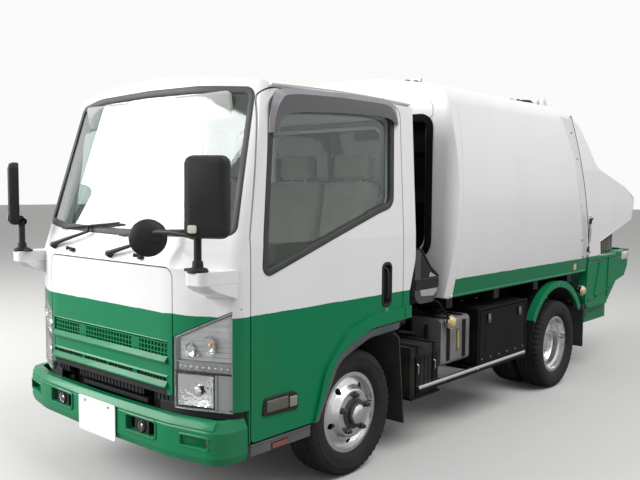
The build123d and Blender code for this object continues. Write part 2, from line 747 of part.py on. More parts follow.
# Columns: place across, half width, lower edge, upper edge
for place, half, low, high in (
    (-495, 10, grille_low + 3, grille_high - 3), (-236, 34, 760, 832),
    (-232, 18, grille_low + 8, bar_low + 2), (0, 8, grille_low + 8, bar_low + 2),
    (232, 18, grille_low + 8, bar_low + 2), (236, 34, 760, 832), (495, 10, grille_low + 3, grille_high - 3),
):
    ribs.append(block((place - half, place + half), (-1100, -900), (low, high)))
rib_pitch = 26
for number in range(-18, 19):
    place = number * rib_pitch
    if abs(abs(place) - 236) > 45:
        ribs.append(block((place - 4, place + 4), (-1100, -900), (bar_high - 2, 826)))
grille = across_grille(grille_half_width, bar_low, bar_high, bar_depth, panel_depth)
grille = grille + across_grille(grille_half_width, grille_low + 4, grille_low + 12, bar_depth, panel_depth)
grille = grille + across_grille(grille_half_width, bar_high - 2, grille_high - 3, glass_depth, panel_depth)
grille = grille + (skin(post_depth, panel_depth) & whole(*ribs))
write("front_hatch", hatch)
write("grille", grille)

# Cab steps: a tread under each door.
step = block((640, 838), (door_front + 5, -392), (322, 376))
step = step - block((639, 826), (door_front + 17, -404), (321, 366))
step = step - block((600, 752), (-428, -300), (300, 400))
step = step + block((640, 652), (door_front + 5, -430), (370, floor_height - 40.3))
write("cab_steps", both_sides(step))

# Cab furniture, seen through the glass.
dashboard = across([
    (-925, 1180, 10), (-890, 1270, 10), (-830, 1325, 60), (-560, 1290, 60), (-560, 1130, 40), (-700, 960, 60),
    (-880, 960, 10),
], -765, 765) & cab_forms[door_layer_depth]
column = rod((-370, -700, 1130), (-370, -455, 1330), 32)
wheel_rim = Pos(-370, -455, 1330) * Rot(-42, 0, 0) * (Torus(195, 14) + Cylinder(60, 26) + Box(380, 44, 14))
dashboard = dashboard + column + wheel_rim
write("dashboard", dashboard)

seats = None
# Columns: middle of the seat across the cab, its width
for middle, width in ((-395, 500), (130, 480), (560, 330)):
    half = width / 2
    cushion = across([
        (-330, seat_box_top + 0.3, 20), (-350, seat_box_top + 130, 50), (100, seat_box_top + 120, 40),
        (190, seat_box_top + 640, 50), (330, seat_box_top + 640, 50), (260, seat_box_top + 0.3, 20),
    ], middle - half, middle + half)
    head = across([
        (215, seat_box_top + 645, 30), (235, seat_box_top + 800, 30), (320, seat_box_top + 800, 30),
        (325, seat_box_top + 630, 10),
    ], middle - 130, middle + 130)
    seat = cushion + head
    seats = whole(seat) if seats is None else whole(seats, seat)
write("seats", seats)

# Mirrors: one on each front corner, and a round convex one that looks down at the bumper.
stay = rod((775, -1046, 1186.3), (775, -1046, 1215), 26) + rod((775, -1046, 1210), (775, -1046, 1345), 13)
stay = stay + rod((775, -1046, 1340), (836, -1046, 1360), 13)
head = extrude(Plane.XZ.offset(-28) * RectangleRounded(200, 350, 38), amount=56)
head = Pos(838, -1040, 1508) * Rot(0, 0, 27) * head
left_mirror = stay + head
under_stay = rod((775, -1046, 1330), (640, -1085, 1352), 11) + rod((640, -1085, 1352), (452, -1062, 1345), 11)
under_head = Pos(448, -1066, 1318) * Rot(90, 0, 0) * Rot(18, 0, 0) * Cylinder(86, 34)
write("mirrors", whole(left_mirror + under_stay + under_head, other_side(left_mirror)))

wipers = None
# Columns: place of the pivot across the cab, its height
for place, height in ((-519, 1226), (36, 1212)):
    pivot = rod((place, -955, height - 2), (place, -1018, height + 12), 16)
    arm = rod((place, -1012, height + 8), (place + 300, -993, height + 92), 7)
    blade = rod((place + 20, -1000, height + 98), (place + 540, -985, height + 140), 7)
    link = rod((place + 300, -993, height + 92), (place + 285, -992, height + 120), 6)
    wiper = pivot + arm + blade + link
    wipers = whole(wiper) if wipers is None else whole(wipers, wiper)
write("wipers", wipers)


# Packer body: a barrel-sided shell, open at the front in a framed opening and at the rear to the tailgate.

def barrel(half_widths, inset=0.0, crown=2268, base=0.0, stretch=1.0):
    """A cross-section with arcs for its sides and roof, from its half widths at the floor, the middle and
    the shoulders. For a leaning plane, its heights are measured from the plane's base and stretched."""
    low_x, middle_x, high_x = half_widths
    places = [
        (low_x - inset, body_floor + inset), (middle_x - inset, 1520), (high_x - inset, 2170 - inset),
        (0, crown - inset),
    ]
    low, middle, high, top = [(x, (z - base) * stretch) for x, z in places]
    right_low, right_middle, right_high = [(-x, z) for x, z in (low, middle, high)]
    face = make_face([
        Line(right_low, low),
        ThreePointArc(low, middle, high),
        ThreePointArc(high, top, right_high),
        ThreePointArc(right_high, right_middle, right_low),
    ])
    shoulders = [corner for corner in face.vertices() if abs(corner.Y - high[1]) < 1]
    return fillet(shoulders, 150 - inset)


def body_space(inset, low_y, high_y):
    """The outer form of the body, or one that lies an inset inside it."""
    return drawn_along(barrel(outer_half_widths, inset), low_y, high_y)


def load_section(inset, low_y, high_y):
    """The load space, which runs straight to the tailgate, or one that lies an inset inside it."""
    return drawn_along(barrel(tail_half_widths, body_wall + inset), low_y, high_y)


def split_y(z):
    """Where the joint between body and tailgate lies at a height: it leans forward upwards."""
    share = (z - split_bottom_z) / (split_top_z - split_bottom_z)
    return split_bottom_y + share * (split_top_y - split_bottom_y)


def body_side(front, offset):
    """The side outline between a front plane and the leaning joint, moved forward by an offset."""
    return [
        (front, 700, 0), (split_bottom_y + 6 - offset, 700, 0), (split_bottom_y - offset, split_bottom_z, 0),
        (split_y(2400) - offset, 2400, 0), (front, 2400, 0),
    ]


# The rear of the outer form narrows to the tailgate: the taper is lofted between two planes that lean
# with the joint, one at the joint and one ahead of it, where the taper is wider than the body.
slope_length = sqrt((split_top_y - split_bottom_y) ** 2 + (split_top_z - split_bottom_z) ** 2)
down_y = (split_bottom_y - split_top_y) / slope_length
down_z = (split_bottom_z - split_top_z) / slope_length


def leaning_section(ahead, half_widths):
    """A cross-section in the joint's leaning plane, moved ahead of it by a distance."""
    base_y = split_bottom_y + ahead * down_z
    base_z = split_bottom_z - ahead * down_y
    plane = Plane(origin=(0, base_y, base_z), x_dir=(-1, 0, 0), z_dir=(0, -down_z, down_y))
    return plane * barrel(half_widths, 0, 2300, base_z, -1 / down_z)


taper = loft([leaning_section(420, beyond_half_widths), leaning_section(-20, tail_half_widths)], ruled=True)
body_outer = body_space(0, body_front, 3400) & across(body_side(body_front, tailgate_gap / 2), -1000, 1000)
front_corner_rows = [(-915, body_front, 95), (915, body_front, 95), (915, 3500, 0), (-915, 3500, 0)]
front_corners = upward(front_corner_rows, 700, 2400)
body_outer = body_outer & front_corners
forward = across(body_side(700, 410), -1000, 1000)
body_outer = (body_outer & forward) + ((body_outer - forward) & taper)
body = body_outer - load_section(0, body_front + 70, 3500)
opening_rows = [
    (-body_front_opening_half_width, 1150, 110), (body_front_opening_half_width, 1150, 110),
    (body_front_opening_half_width, 2090, 110), (-body_front_opening_half_width, 2090, 110),
]
body = body - along(opening_rows, body_front - 50, body_front + 120)
sill = block((rail_inner, rail_outer), (body_front + 30, frame_rear - 10), (rail_top, body_floor + 5))
body = body + sill + other_side(sill)
for place in (900, 1500, 2100, 2700):
    body = body + block((-830, 830), (place - 35, place + 35), (body_floor - 70, body_floor + 5))
for middle in (-560, 560):
    for offset in (-32, 20):
        ear = across([
            (tail_hinge_y - 110, 2202, 0), (tail_hinge_y + 20, 2202, 0),
            (tail_hinge_y + 28, tail_hinge_z - 20, 0), (tail_hinge_y + 28, tail_hinge_z + 26, 24),
            (tail_hinge_y - 28, tail_hinge_z + 26, 24),
        ], middle + offset, middle + offset + 12)
        body = body + ear
hinge_bore = crossbar(-700, 700, tail_hinge_y, tail_hinge_z, tail_hinge_radius + bearing_clearance)
body = body - hinge_bore
write("body_shell", body)

# Ejector: the plate that pushes the load out, and the telescopic cylinder that drives it.

ejector_rest = 1450
ejector_height = 1500
ejector_slope = (split_top_y - split_bottom_y) / (split_top_z - split_bottom_z)


def ejector_y(z):
    return ejector_rest + (z - ejector_height) * ejector_slope


ejector_depth = 70
plate_zone = across([
    (ejector_y(800), 800, 0), (ejector_y(800) + ejector_depth, 800, 0),
    (ejector_y(2400) + ejector_depth, 2400, 0), (ejector_y(2400), 2400, 0)], -1000, 1000)
ejector = plate_zone & load_section(ejector_clearance, 900, 2500)
pocket = across([
    (ejector_y(800) - 1, 800, 0), (ejector_y(800) + ejector_depth - 16, 800, 0),
    (ejector_y(2400) + ejector_depth - 16, 2400, 0), (ejector_y(2400) - 1, 2400, 0)], -1000, 1000)
pocket = pocket & load_section(ejector_clearance + 60, 900, 2500)
web_zone = block((-900, 900), (900, 2500), (1440, 1560))
# Columns: middle of the upright web, half its width
for middle, half in ((-445, 15), (0, 60), (445, 15)):
    web_zone = web_zone + block((middle - half, middle + half), (900, 2500), (800, 2400))
ejector = ejector - (pocket - web_zone)
cylinder_front = 862
stage_radii = [80, 66, 52, 38]
stage_length = 540
barrel_rear = cylinder_front + stage_length


def cylinder_rod(low_y, high_y, radius):
    """A round bar on the cylinder's axis."""
    return rod((0, low_y, ejector_height), (0, high_y, ejector_height), radius)


ejector = ejector + cylinder_rod(cylinder_front + 70, ejector_rest + 20, stage_radii[3])
write("ejector_plate", ejector)

cylinder = cylinder_rod(cylinder_front, barrel_rear, stage_radii[0])
cylinder = cylinder - cylinder_rod(cylinder_front + 20, barrel_rear + 1, stage_radii[1] + 0.3)
crossbeam = (body_front + 10, body_front + 58)
cylinder = cylinder + block((-689.7, 689.7), crossbeam, (ejector_height - 40, ejector_height + 40))
write("ejector_cylinder", cylinder)
stages = []
for number in (1, 2):
    start = cylinder_front + 8 + 20 * number
    tube = cylinder_rod(start, barrel_rear + 8 * number, stage_radii[number])
    stages.append(tube - cylinder_rod(start + 12, barrel_rear + 40, stage_radii[number + 1] + 0.3))
write("ejector_stage_one", stages[0])
write("ejector_stage_two", stages[1])

# Tailgate: box-section sides with a sloping cover, hung from the roof of the body.

tail_rows = [
    (split_y(985) + tailgate_gap / 2, 985, 0), (3322, 985, 0), (3304, 1112, 10), (4042, 1285, 30),
    (4112, 1450, 30), (3883, 1574, 250), (3235, 1726, 200), (3150, 1786, 60), (2946, 2016, 300),
    (2736, 2196, 8), (split_y(2196) + tailgate_gap / 2, 2196, 0),
]
tail_outer = across(tail_rows, -hopper_half_width, hopper_half_width)
tail_outer = tail_outer & drawn_along(barrel(tail_half_widths), 2400, 4300)
tail_inside = across([
    (2500, 900, 0), (2500, 2330, 0), (2690, 2170, 0), (2928, 1990, 300), (3130, 1762, 60), (3228, 1696, 200),
    (3876, 1544, 250), (4300, 1410, 0), (4300, 900, 0),
], -hopper_inner, hopper_inner)
tailgate = tail_outer - (tail_inside & load_section(0, 2400, 4400))
wing_recess_rows = [(3330, 900, 0), (3330, 1640, 0), (4300, 1430, 0), (4300, 900, 0)]
wing_recess = across(wing_recess_rows, hopper_inner - 5, 822)
tailgate = tailgate - wing_recess - other_side(wing_recess)
for middle in (-560, 560):
    arm = across([
        (tail_hinge_y, tail_hinge_z - 20, 0), (tail_hinge_y, tail_hinge_z + 20, 0),
        (2755, tail_hinge_z + 4, 30), (2900, 2078, 20), (2850, 2055, 0), (2742, 2180, 0),
        (2724, tail_hinge_z - 24, 0),
    ], middle - 14, middle + 14)
    arm = arm + crossbar(middle - 14, middle + 14, tail_hinge_y, tail_hinge_z, 24)
    pin = crossbar(middle - 40, middle + 40, tail_hinge_y, tail_hinge_z, tail_hinge_radius)
    tailgate = tailgate + arm + pin
write("tailgate", tailgate)

# Hopper: the green bucket below, whose floor follows the packing blade's sweep.

blade_offset = 72
hinge_rest_z = 1540
hinge_rest_y = split_y(hinge_rest_z) + blade_offset
hinge_low_y = hinge_rest_y + down_y * slider_travel
hinge_low_z = hinge_rest_z + down_z * slider_travel
sweep_radius = blade_length + blade_clearance
rise = radians(36)
hopper_side_rows = [
    (3046, 985, 0), (3046, 800, 0), (3014, 640, 0), (3020, 572, 20), (3060, 560, 20), (3470, 560, 60),
    (3700, 740, 60), (3900, 772, 40), (3975, 860, 20), (3975, 1005, 12), (3760, 1005, 30), (3700, 984, 30),
]
hopper_side = across(hopper_side_rows, -hopper_half_width, hopper_half_width)
floor_end_y = hinge_low_y + sweep_radius * sin(rise)
floor_end_z = hinge_low_z - sweep_radius * cos(rise)
trough = crossbar(-hopper_inner, hopper_inner, hinge_low_y, hinge_low_z, sweep_radius)
trough = trough + across([
    (hinge_low_y, hinge_low_z, 0), (floor_end_y, floor_end_z, 0), (3955, 985, 0), (3955, 1200, 0),
    (2900, 1200, 0), (2900, hinge_low_z, 0),
], -hopper_inner, hopper_inner)
hopper = hopper_side - trough
write("hopper", hopper)

lamp = block((hopper_inner + 2, hopper_half_width - 8), (3975.3, 3995), (880, 1000))
write("tail_lamps", both_sides(lamp))

# Packer: the slider runs down its guides, and the packing blade is hinged along its lower edge.

slider_half = hopper_inner - 8
slider_top_z = 2010
thickness = 56


def beside_split(z, offset):
    """A corner of a side outline at a height, an offset behind the joint."""
    return split_y(z) + offset, z, 0


slider_low = hinge_rest_z + 40
slider_rows = [
    beside_split(slider_low, blade_offset - thickness / 2),
    beside_split(slider_top_z, blade_offset - thickness / 2),
    beside_split(slider_top_z - 16, blade_offset + thickness / 2),
    beside_split(slider_low, blade_offset + thickness / 2),
]
slider = across(slider_rows, -slider_half, slider_half)
knuckle_places = [-600, -200, 200, 600]
for middle in knuckle_places:
    slider = slider + across([
        beside_split(slider_low + 10, blade_offset - 24), beside_split(slider_low + 10, blade_offset + 24),
        beside_split(hinge_rest_z, blade_offset + 30), beside_split(hinge_rest_z, blade_offset - 30),
    ], middle - 40, middle + 40)
    slider = slider + crossbar(middle - 40, middle + 40, hinge_rest_y, hinge_rest_z, blade_hinge_radius + 12)
slider = slider - crossbar(-800, 800, hinge_rest_y, hinge_rest_z, blade_hinge_radius + bearing_clearance)
write("packer_slider", slider)



def blade_corner(down, offset, corner=0):
    """A corner of the blade's side outline: how far it lies below the hinge, and its offset to the rear."""
    return hinge_rest_y + offset + down_y * down, hinge_rest_z + down_z * down, corner


blade = across([
    blade_corner(53, -26), blade_corner(53, 26), blade_corner(300, 34, 40),
    blade_corner(blade_length - 10, 6), blade_corner(blade_length - 10, -6), blade_corner(300, -26, 40),
], -slider_half, slider_half)
for middle in (-400, 0, 400):
    blade = blade + across([
        blade_corner(0, -26, 10), blade_corner(0, 26, 10), blade_corner(62, 26), blade_corner(62, -26),
    ], middle - 60, middle + 60)
    blade = blade + crossbar(middle - 60, middle + 60, hinge_rest_y, hinge_rest_z, blade_hinge_radius + 10)
blade = blade + crossbar(-645, 645, hinge_rest_y, hinge_rest_z, blade_hinge_radius)
write("packing_blade", blade)

# Rear fenders, mudflaps and the under-run box.

fender_middle_y, fender_middle_z = 2452, 338
fender_radius = 505
fender_sheet = 10
fender_low = 590


def fender_ring(low_x, high_x, depth):
    """A ring across the truck, from the fender's outer radius down to a depth below it."""
    ring = crossbar(low_x, high_x, fender_middle_y, fender_middle_z, fender_radius)
    return ring - crossbar(low_x - 1, high_x + 1, fender_middle_y, fender_middle_z, fender_radius - depth)


ring_zone = block((590, 852), (1900, 3000), (fender_low, 900))
fender = (fender_ring(592, 852, fender_sheet) + fender_ring(840, 852, 46)) & ring_zone
fender_top = fender_middle_z + fender_radius
stay_along = (fender_middle_y - 20, fender_middle_y + 20)
fender_stay = block((rail_outer, 600), stay_along, (fender_top - 60, fender_top - 12))
fender = fender + fender_stay
write("rear_fenders", both_sides(fender))

front_flap_rows = [(352, 738, 0), (415, 695, 25), (470, 178, 0), (460, 178, 0), (405, 690, 25), (352, 726, 0)]
front_flap = across(front_flap_rows, 560, 800)
front_flap = front_flap + block((rail_outer, 570), (410, 428), (600, 660))
rear_flap = block((600, 845), (2968, 2978), (250, 570)) + block((rail_outer, 845), (2960, 2985), (560, 600))
write("mudflaps", whole(both_sides(front_flap), both_sides(rear_flap)))

under_run = block((-795, 795), (3110, 3577), (428, 540)) - block((-780, 780), (3122, 3562), (420, 528))
write("rear_bumper", under_run)
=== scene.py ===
from math import cos, hypot, pi, radians, sin, tau

import bmesh
import bpy
from mathutils import Matrix, Vector


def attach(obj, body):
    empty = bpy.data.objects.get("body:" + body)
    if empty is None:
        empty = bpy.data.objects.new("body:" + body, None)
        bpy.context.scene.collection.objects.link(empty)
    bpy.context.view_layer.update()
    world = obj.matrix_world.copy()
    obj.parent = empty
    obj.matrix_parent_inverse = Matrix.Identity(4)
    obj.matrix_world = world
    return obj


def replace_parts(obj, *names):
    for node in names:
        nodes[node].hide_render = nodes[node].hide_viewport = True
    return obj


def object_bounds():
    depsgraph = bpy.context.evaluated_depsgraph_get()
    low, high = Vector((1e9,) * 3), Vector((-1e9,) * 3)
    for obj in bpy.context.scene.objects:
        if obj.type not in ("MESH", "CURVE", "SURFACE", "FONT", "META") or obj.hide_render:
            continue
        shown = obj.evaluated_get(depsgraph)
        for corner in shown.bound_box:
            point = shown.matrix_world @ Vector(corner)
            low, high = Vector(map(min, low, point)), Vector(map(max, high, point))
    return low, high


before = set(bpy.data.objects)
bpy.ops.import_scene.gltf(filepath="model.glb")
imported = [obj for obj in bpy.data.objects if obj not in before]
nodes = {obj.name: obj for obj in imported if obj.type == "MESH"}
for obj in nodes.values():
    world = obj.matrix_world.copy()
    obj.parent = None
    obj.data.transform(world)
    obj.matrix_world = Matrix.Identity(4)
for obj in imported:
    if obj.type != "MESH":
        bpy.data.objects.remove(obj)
cad_low, cad_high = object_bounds()

# The viewpoint: somebody who stands off the truck's front left corner, eyes one and a half metres up,
# and looks along its left side. Places along the truck are measured from the front axle, as in the CAD.
axle = -1.497
eye = bpy.data.cameras.new("eye")
eye.lens = 41.953
eye.sensor_width = 36
eye.clip_end = 200
viewer = bpy.data.objects.new("viewer", eye)
heading, look_down, lean = 41.486, 3.905, 0.363
viewer.matrix_world = (
    Matrix.Translation((3.2737, axle - 3.0819, 1.5444)) @ Matrix.Rotation(radians(heading), 4, "Z")
    @ Matrix.Rotation(radians(90 - look_down), 4, "X") @ Matrix.Rotation(radians(lean), 4, "Z")
)
bpy.context.scene.collection.objects.link(viewer)
bpy.context.scene.camera = viewer
bpy.context.scene.view_settings.view_transform = "Standard"


# The ground and the light: a pale studio floor that keeps the truck's shadow, a white surround, a broad
# soft box off the truck's front right that also shows in the windscreen, and a weaker one at its left.
class Value:
    """A socket in a material's tree, on which Python's arithmetic adds Math nodes."""

    def __init__(self, tree, socket):
        self.tree = tree
        self.socket = socket

    def math(self, operation, *values):
        return self.tree.node("ShaderNodeMath", {"operation": operation}, self, *values)

    def __add__(self, other):
        return self.math("ADD", other)

    def __mul__(self, other):
        return self.math("MULTIPLY", other)

    __radd__, __rmul__ = __add__, __mul__

    def __lt__(self, other):
        return self.math("LESS_THAN", other)

    def __gt__(self, other):
        return self.math("GREATER_THAN", other)


class Tree:
    """The nodes of a material or of the surround, and the shader that they feed."""

    def __init__(self, owner, shader):
        owner.use_nodes = True
        self.nodes, self.links = owner.node_tree.nodes, owner.node_tree.links
        self.shader = self.nodes[shader]

    def fill(self, socket, value):
        """Links a value to a socket, or writes a number, a colour or a vector there."""
        if isinstance(value, Value):
            self.links.new(value.socket, socket)
        else:
            needed = len(socket.default_value) if isinstance(value, tuple) else 0
            socket.default_value = (*value, 1)[:needed] if needed else value

    def set(self, name, value):
        self.fill(self.shader.inputs[name], value)

    def node(self, kind, settings, *values, output=0, **named):
        """Any node: its settings first, then its sockets in order, or by name or number."""
        made = self.nodes.new(kind)
        for setting, value in settings.items():
            if setting == "stops":
                for stop, (place, level) in zip(made.color_ramp.elements, value):
                    stop.position = place
                    stop.color = (level, level, level, 1)
            else:
                setattr(made, setting, value)
        for socket, value in [*enumerate(values), *named.items()]:
            if isinstance(socket, str) and socket.startswith("number_"):
                socket = int(socket.removeprefix("number_"))
            self.fill(made.inputs[socket], value)
        return Value(self, made.outputs[output])

    def place(self, axis=None):
        """The point's place in metres, or one coordinate of it."""
        point = self.node("ShaderNodeTexCoord", {}, output="Object")
        return self.node("ShaderNodeSeparateXYZ", {}, point, output=axis) if axis else point

    def noise(self, scale, detail=3.0, stretch=(1, 1, 1)):
        """Cloudy variation from 0 to 1, about that many clouds to a metre."""
        point = self.node("ShaderNodeMapping", {}, self.place(), Scale=stretch)
        return self.node("ShaderNodeTexNoise", {}, Vector=point, Scale=scale, Detail=detail, output="Fac")

    def ramp(self, value, *stops):
        """The level between two stops of (value, level)."""
        return self.node("ShaderNodeValToRGB", {"stops": stops}, value)

    def blend(self, factor, first, second):
        """The second colour over the first, by a factor."""
        colours = {"number_6": first, "number_7": second}
        return self.node("ShaderNodeMix", {"data_type": "RGBA"}, factor, output=2, **colours)

    def bump(self, height, strength, distance):
        made = self.node("ShaderNodeBump", {}, Strength=strength, Distance=distance, Height=height)
        self.set("Normal", made)


class Finish(Tree):
    """One material: a Principled shader, its plain values set on its own sockets."""

    def __init__(self, name, colour, roughness, **plain):
        self.material = bpy.data.materials.new(name)
        super().__init__(self.material, "Principled BSDF")
        self.material.diffuse_color = (*colour, 1)
        self.set("Base Color", colour)
        self.set("Roughness", roughness)
        for socket, value in plain.items():
            self.set(socket.replace("_", " "), value)


def finish_of(name, colour, roughness, cloudy=0.25, grain=420.0, relief=0.12, worn=None, **plain):
    """A finish whose colour and gloss vary a little, with a fine grain."""
    made = Finish(name, colour, roughness, **plain)
    cloud = made.ramp(made.noise(7.0, 6.0), (0.38, 0.0), (0.80, 1.0))
    other = worn or tuple(min(1.0, part * 1.4 + 0.02) for part in colour)
    made.set("Base Color", made.blend(cloud * cloudy, colour, other))
    made.set("Roughness", roughness + 0.15 * cloud)
    made.bump(made.noise(grain, 3.0), relief, 0.0008)
    return made.material


floor_mesh = bmesh.new()
bmesh.ops.create_grid(floor_mesh, x_segments=1, y_segments=1, size=60)
floor = bpy.data.objects.new("floor", bpy.data.meshes.new("floor"))
floor_mesh.to_mesh(floor.data)
floor_mesh.free()
floor.location.z = cad_low[2]
bpy.context.scene.collection.objects.link(floor)
ground = Finish("pale_ground", (0.30, 0.30, 0.295), 0.85)
speckle = ground.ramp(ground.noise(14.0, 6.0), (0.35, 0.0), (0.75, 1.0))
by_camera = ground.node("ShaderNodeLightPath", {}, output="Is Camera Ray")
ground_tone = ground.blend(by_camera, (0.30, 0.30, 0.295), (0.66, 0.66, 0.65))
ground.set("Base Color", ground.blend(speckle * 0.06, ground_tone, (0.40, 0.38, 0.36)))
floor.data.materials.append(ground.material)

surround = bpy.data.worlds.new("surround")
bpy.context.scene.world = surround
lit_white, shown_white = 0.46, 0.96
sky = Tree(surround, "Background")
sky.set("Color", (1, 1, 1))
seen, passed, glossy = [sky.node("ShaderNodeLightPath", {}, output=f"Is {kind} Ray")
                        for kind in ("Camera", "Transmission", "Glossy")]
shown = seen.math("MAXIMUM", passed).math("MAXIMUM", glossy)
sky.set("Strength", shown * (shown_white - lit_white) + lit_white)

# Columns: name, place, aim, width, height, power in watts
soft_boxes = [
    ("front_light", (-5.9, -8.3, 5.0), (0, -2.3, 1.6), 8.0, 5.0, 1300),
    ("left_light", (5.6, -0.2, 8.6), (0, 0.9, 1.2), 6.0, 6.0, 620),
]
for name, place, aim, width, tall, power in soft_boxes:
    lamp = bpy.data.lights.new(name, "AREA")
    lamp.shape = "RECTANGLE"
    lamp.size, lamp.size_y = width, tall
    lamp.energy = power
    holder = bpy.data.objects.new(name, lamp)
    holder.location = place
    holder.rotation_euler = (Vector(aim) - Vector(place)).to_track_quat("-Z", "Y").to_euler()
    bpy.context.scene.collection.objects.link(holder)


# Tyres: six radial truck tyres with zigzag grooves and shoulder lugs, moulded rubber on the rims' beads.
# The tread is half worn and dusty.
def spread(low, high, steps):
    """Evenly spaced values from low to high, with both ends."""
    return [low + (high - low) * step / steps for step in range(steps + 1)]


class Piece:
    """A mesh in the making, drawn in millimetres from the front axle, that rides on one body."""

    def __init__(self, name, *materials):
        self.name = name
        self.materials = materials
        self.mesh = bmesh.new()

    def skin(self, loops, closed_loop=True, closed_run=False, capped=True, paint=0):
        """Faces between a run of loops with equally many points each."""
        rings = [[self.mesh.verts.new(point) for point in loop] for loop in loops]
        pairs = list(zip(rings, rings[1:])) + ([(rings[-1], rings[0])] if closed_run else [])
        faces = []
        count = len(rings[0])
        for first, second in pairs:
            for here in range(count if closed_loop else count - 1):
                after = (here + 1) % count
                faces.append(self.mesh.faces.new((first[here], first[after], second[after], second[here])))
        if capped and closed_loop and not closed_run:
            faces.append(self.mesh.faces.new(rings[0]))
            faces.append(self.mesh.faces.new(rings[-1]))
        for face in faces:
            face.material_index = paint
        bmesh.ops.recalc_face_normals(self.mesh, faces=faces)
        return [point for ring in rings for point in ring]

    def across(self, rows, low_x, high_x, paint=0):
        """An outline of (y, z) drawn out across the truck."""
        return self.skin([[(x, y, z) for y, z in rows] for x in (low_x, high_x)], paint=paint)

    def along(self, rows, low_y, high_y, paint=0):
        """An outline of (x, z) drawn out along the truck."""
        return self.skin([[(x, y, z) for x, z in rows] for y in (low_y, high_y)], paint=paint)

    def upward(self, rows, low_z, high_z, paint=0):
        """An outline of (x, y) drawn out upwards."""
        return self.skin([[(x, y, z) for x, y in rows] for z in (low_z, high_z)], paint=paint)

    def box(self, x, y, z, paint=0):
        return self.upward([(x[0], y[0]), (x[1], y[0]), (x[1], y[1]), (x[0], y[1])], z[0], z[1], paint)

    def pipe(self, points, radius, sides=12, paint=0, radii=None):
        """A round bar or hose through some points."""
        points = [Vector(point) for point in points]
        loops = []
        for number, point in enumerate(points):
            way = points[min(number + 1, len(points) - 1)] - points[max(number - 1, 0)]
            way.normalize()
            side = way.cross(Vector((0, 0, 1)) if abs(way.z) < 0.9 else Vector((0, 1, 0))).normalized()
            other = way.cross(side)
            size = radii[number] if radii else radius
            loops.append([point + (side * cos(tau * k / sides) + other * sin(tau * k / sides)) * size
                          for k in range(sides)])
        return self.skin(loops, paint=paint)

    def turned(self, rows, centre, steps=32, axis="X", closed=False, paint=0):
        """An outline of (place along the axis, radius) turned about an axis through the centre."""
        loops = []
        for angle in spread(0, tau, steps)[:-1]:
            loop = []
            for place, radius in rows:
                first, second = radius * cos(angle), radius * sin(angle)
                offset = [first, second]
                offset.insert("XYZ".index(axis), place)
                loop.append(Vector(centre) + Vector(offset))
            loops.append(loop)
        return self.skin(loops, closed_loop=closed, closed_run=True, paint=paint)

    def bolt(self, face, radius, height, centre, sides=8, axis="X", paint=0):
        """A bolt's head on a face, with a broken edge; a negative height points the other way."""
        edge = face + height - (1 if height > 0 else -1)
        rows = [(face, 0), (face, radius), (edge, radius - 1), (face + height, 0)]
        return self.turned(rows, centre, sides, axis, paint=paint)

    def move(self, points, matrix):
        """Turns or moves points that were just made."""
        bmesh.ops.transform(self.mesh, matrix=matrix, verts=points)

    def mirror(self, points=None, faces=None):
        """Turns what was drawn for the left side into its mirror image on the right."""
        bmesh.ops.scale(self.mesh, vec=(-1, 1, 1), verts=points or self.mesh.verts)
        bmesh.ops.reverse_faces(self.mesh, faces=faces or self.mesh.faces)

    def both_sides(self):
        """Adds the mirror image of everything drawn so far on the truck's right side."""
        drawn = self.mesh.verts[:] + self.mesh.edges[:] + self.mesh.faces[:]
        copied = bmesh.ops.duplicate(self.mesh, geom=drawn)["geom"]
        self.mirror([item for item in copied if isinstance(item, bmesh.types.BMVert)],
                    [item for item in copied if isinstance(item, bmesh.types.BMFace)])

    def mounted(self, body, slot=None, bevel=0.0, sharp=32, steps=2):
        """The finished object on its body."""
        bmesh.ops.scale(self.mesh, vec=(0.001, 0.001, 0.001), verts=self.mesh.verts)
        bmesh.ops.translate(self.mesh, vec=(0, axle, 0), verts=self.mesh.verts)
        data = bpy.data.meshes.new(self.name)
        self.mesh.to_mesh(data)
        self.mesh.free()
        for material in self.materials:
            data.materials.append(material)
        data.shade_smooth()
        data.set_sharp_from_angle(angle=radians(sharp))
        made = bpy.data.objects.new(self.name, data)
        bpy.context.scene.collection.objects.link(made)
        if bevel:
            edge = made.modifiers.new("edge", "BEVEL")
            edge.width = bevel / 1000
            edge.segments = steps
            edge.limit_method = "ANGLE"
            edge.angle_limit = radians(40)
            edge.harden_normals = True
        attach(made, body)
        return made


tyre_rubber = finish_of("tyre_rubber", (0.014, 0.014, 0.015), 0.75, 0.5, 260.0, 0.35, (0.050, 0.048, 0.046),
                        Specular_IOR_Level=0.25)
wheelbase, wheel_height = 2490, 342
half_section = [
    (67.5, 203.6), (67.5, 217.8), (78, 218), (88, 228), (95.5, 241), (97.4, 243), (97.6, 246), (98.8, 250),
    (101.2, 262), (101.8, 274), (101.0, 290), (102.2, 293), (101.8, 297), (100.0, 299), (98, 312),
    (94, 324), (90, 331), (80, 337.5), (62, 341.2), (54, 341.6), (52, 333.5), (45, 333.5), (43, 341.9),
    (20, 342), (18, 333.5), (12, 333.5), (10, 342),
]
section = half_section + [(-place, radius) for place, radius in reversed(half_section)]
# How deep the shoulder's slots cut into each row of the section, and how far the grooves' rows swing.
lug_rows = {15: 4, 16: 6.5, 17: 7.5, 18: 7.5, 19: 7.5}
groove_rows, groove_wave, tread_steps = range(20, 27), 2.4, 208


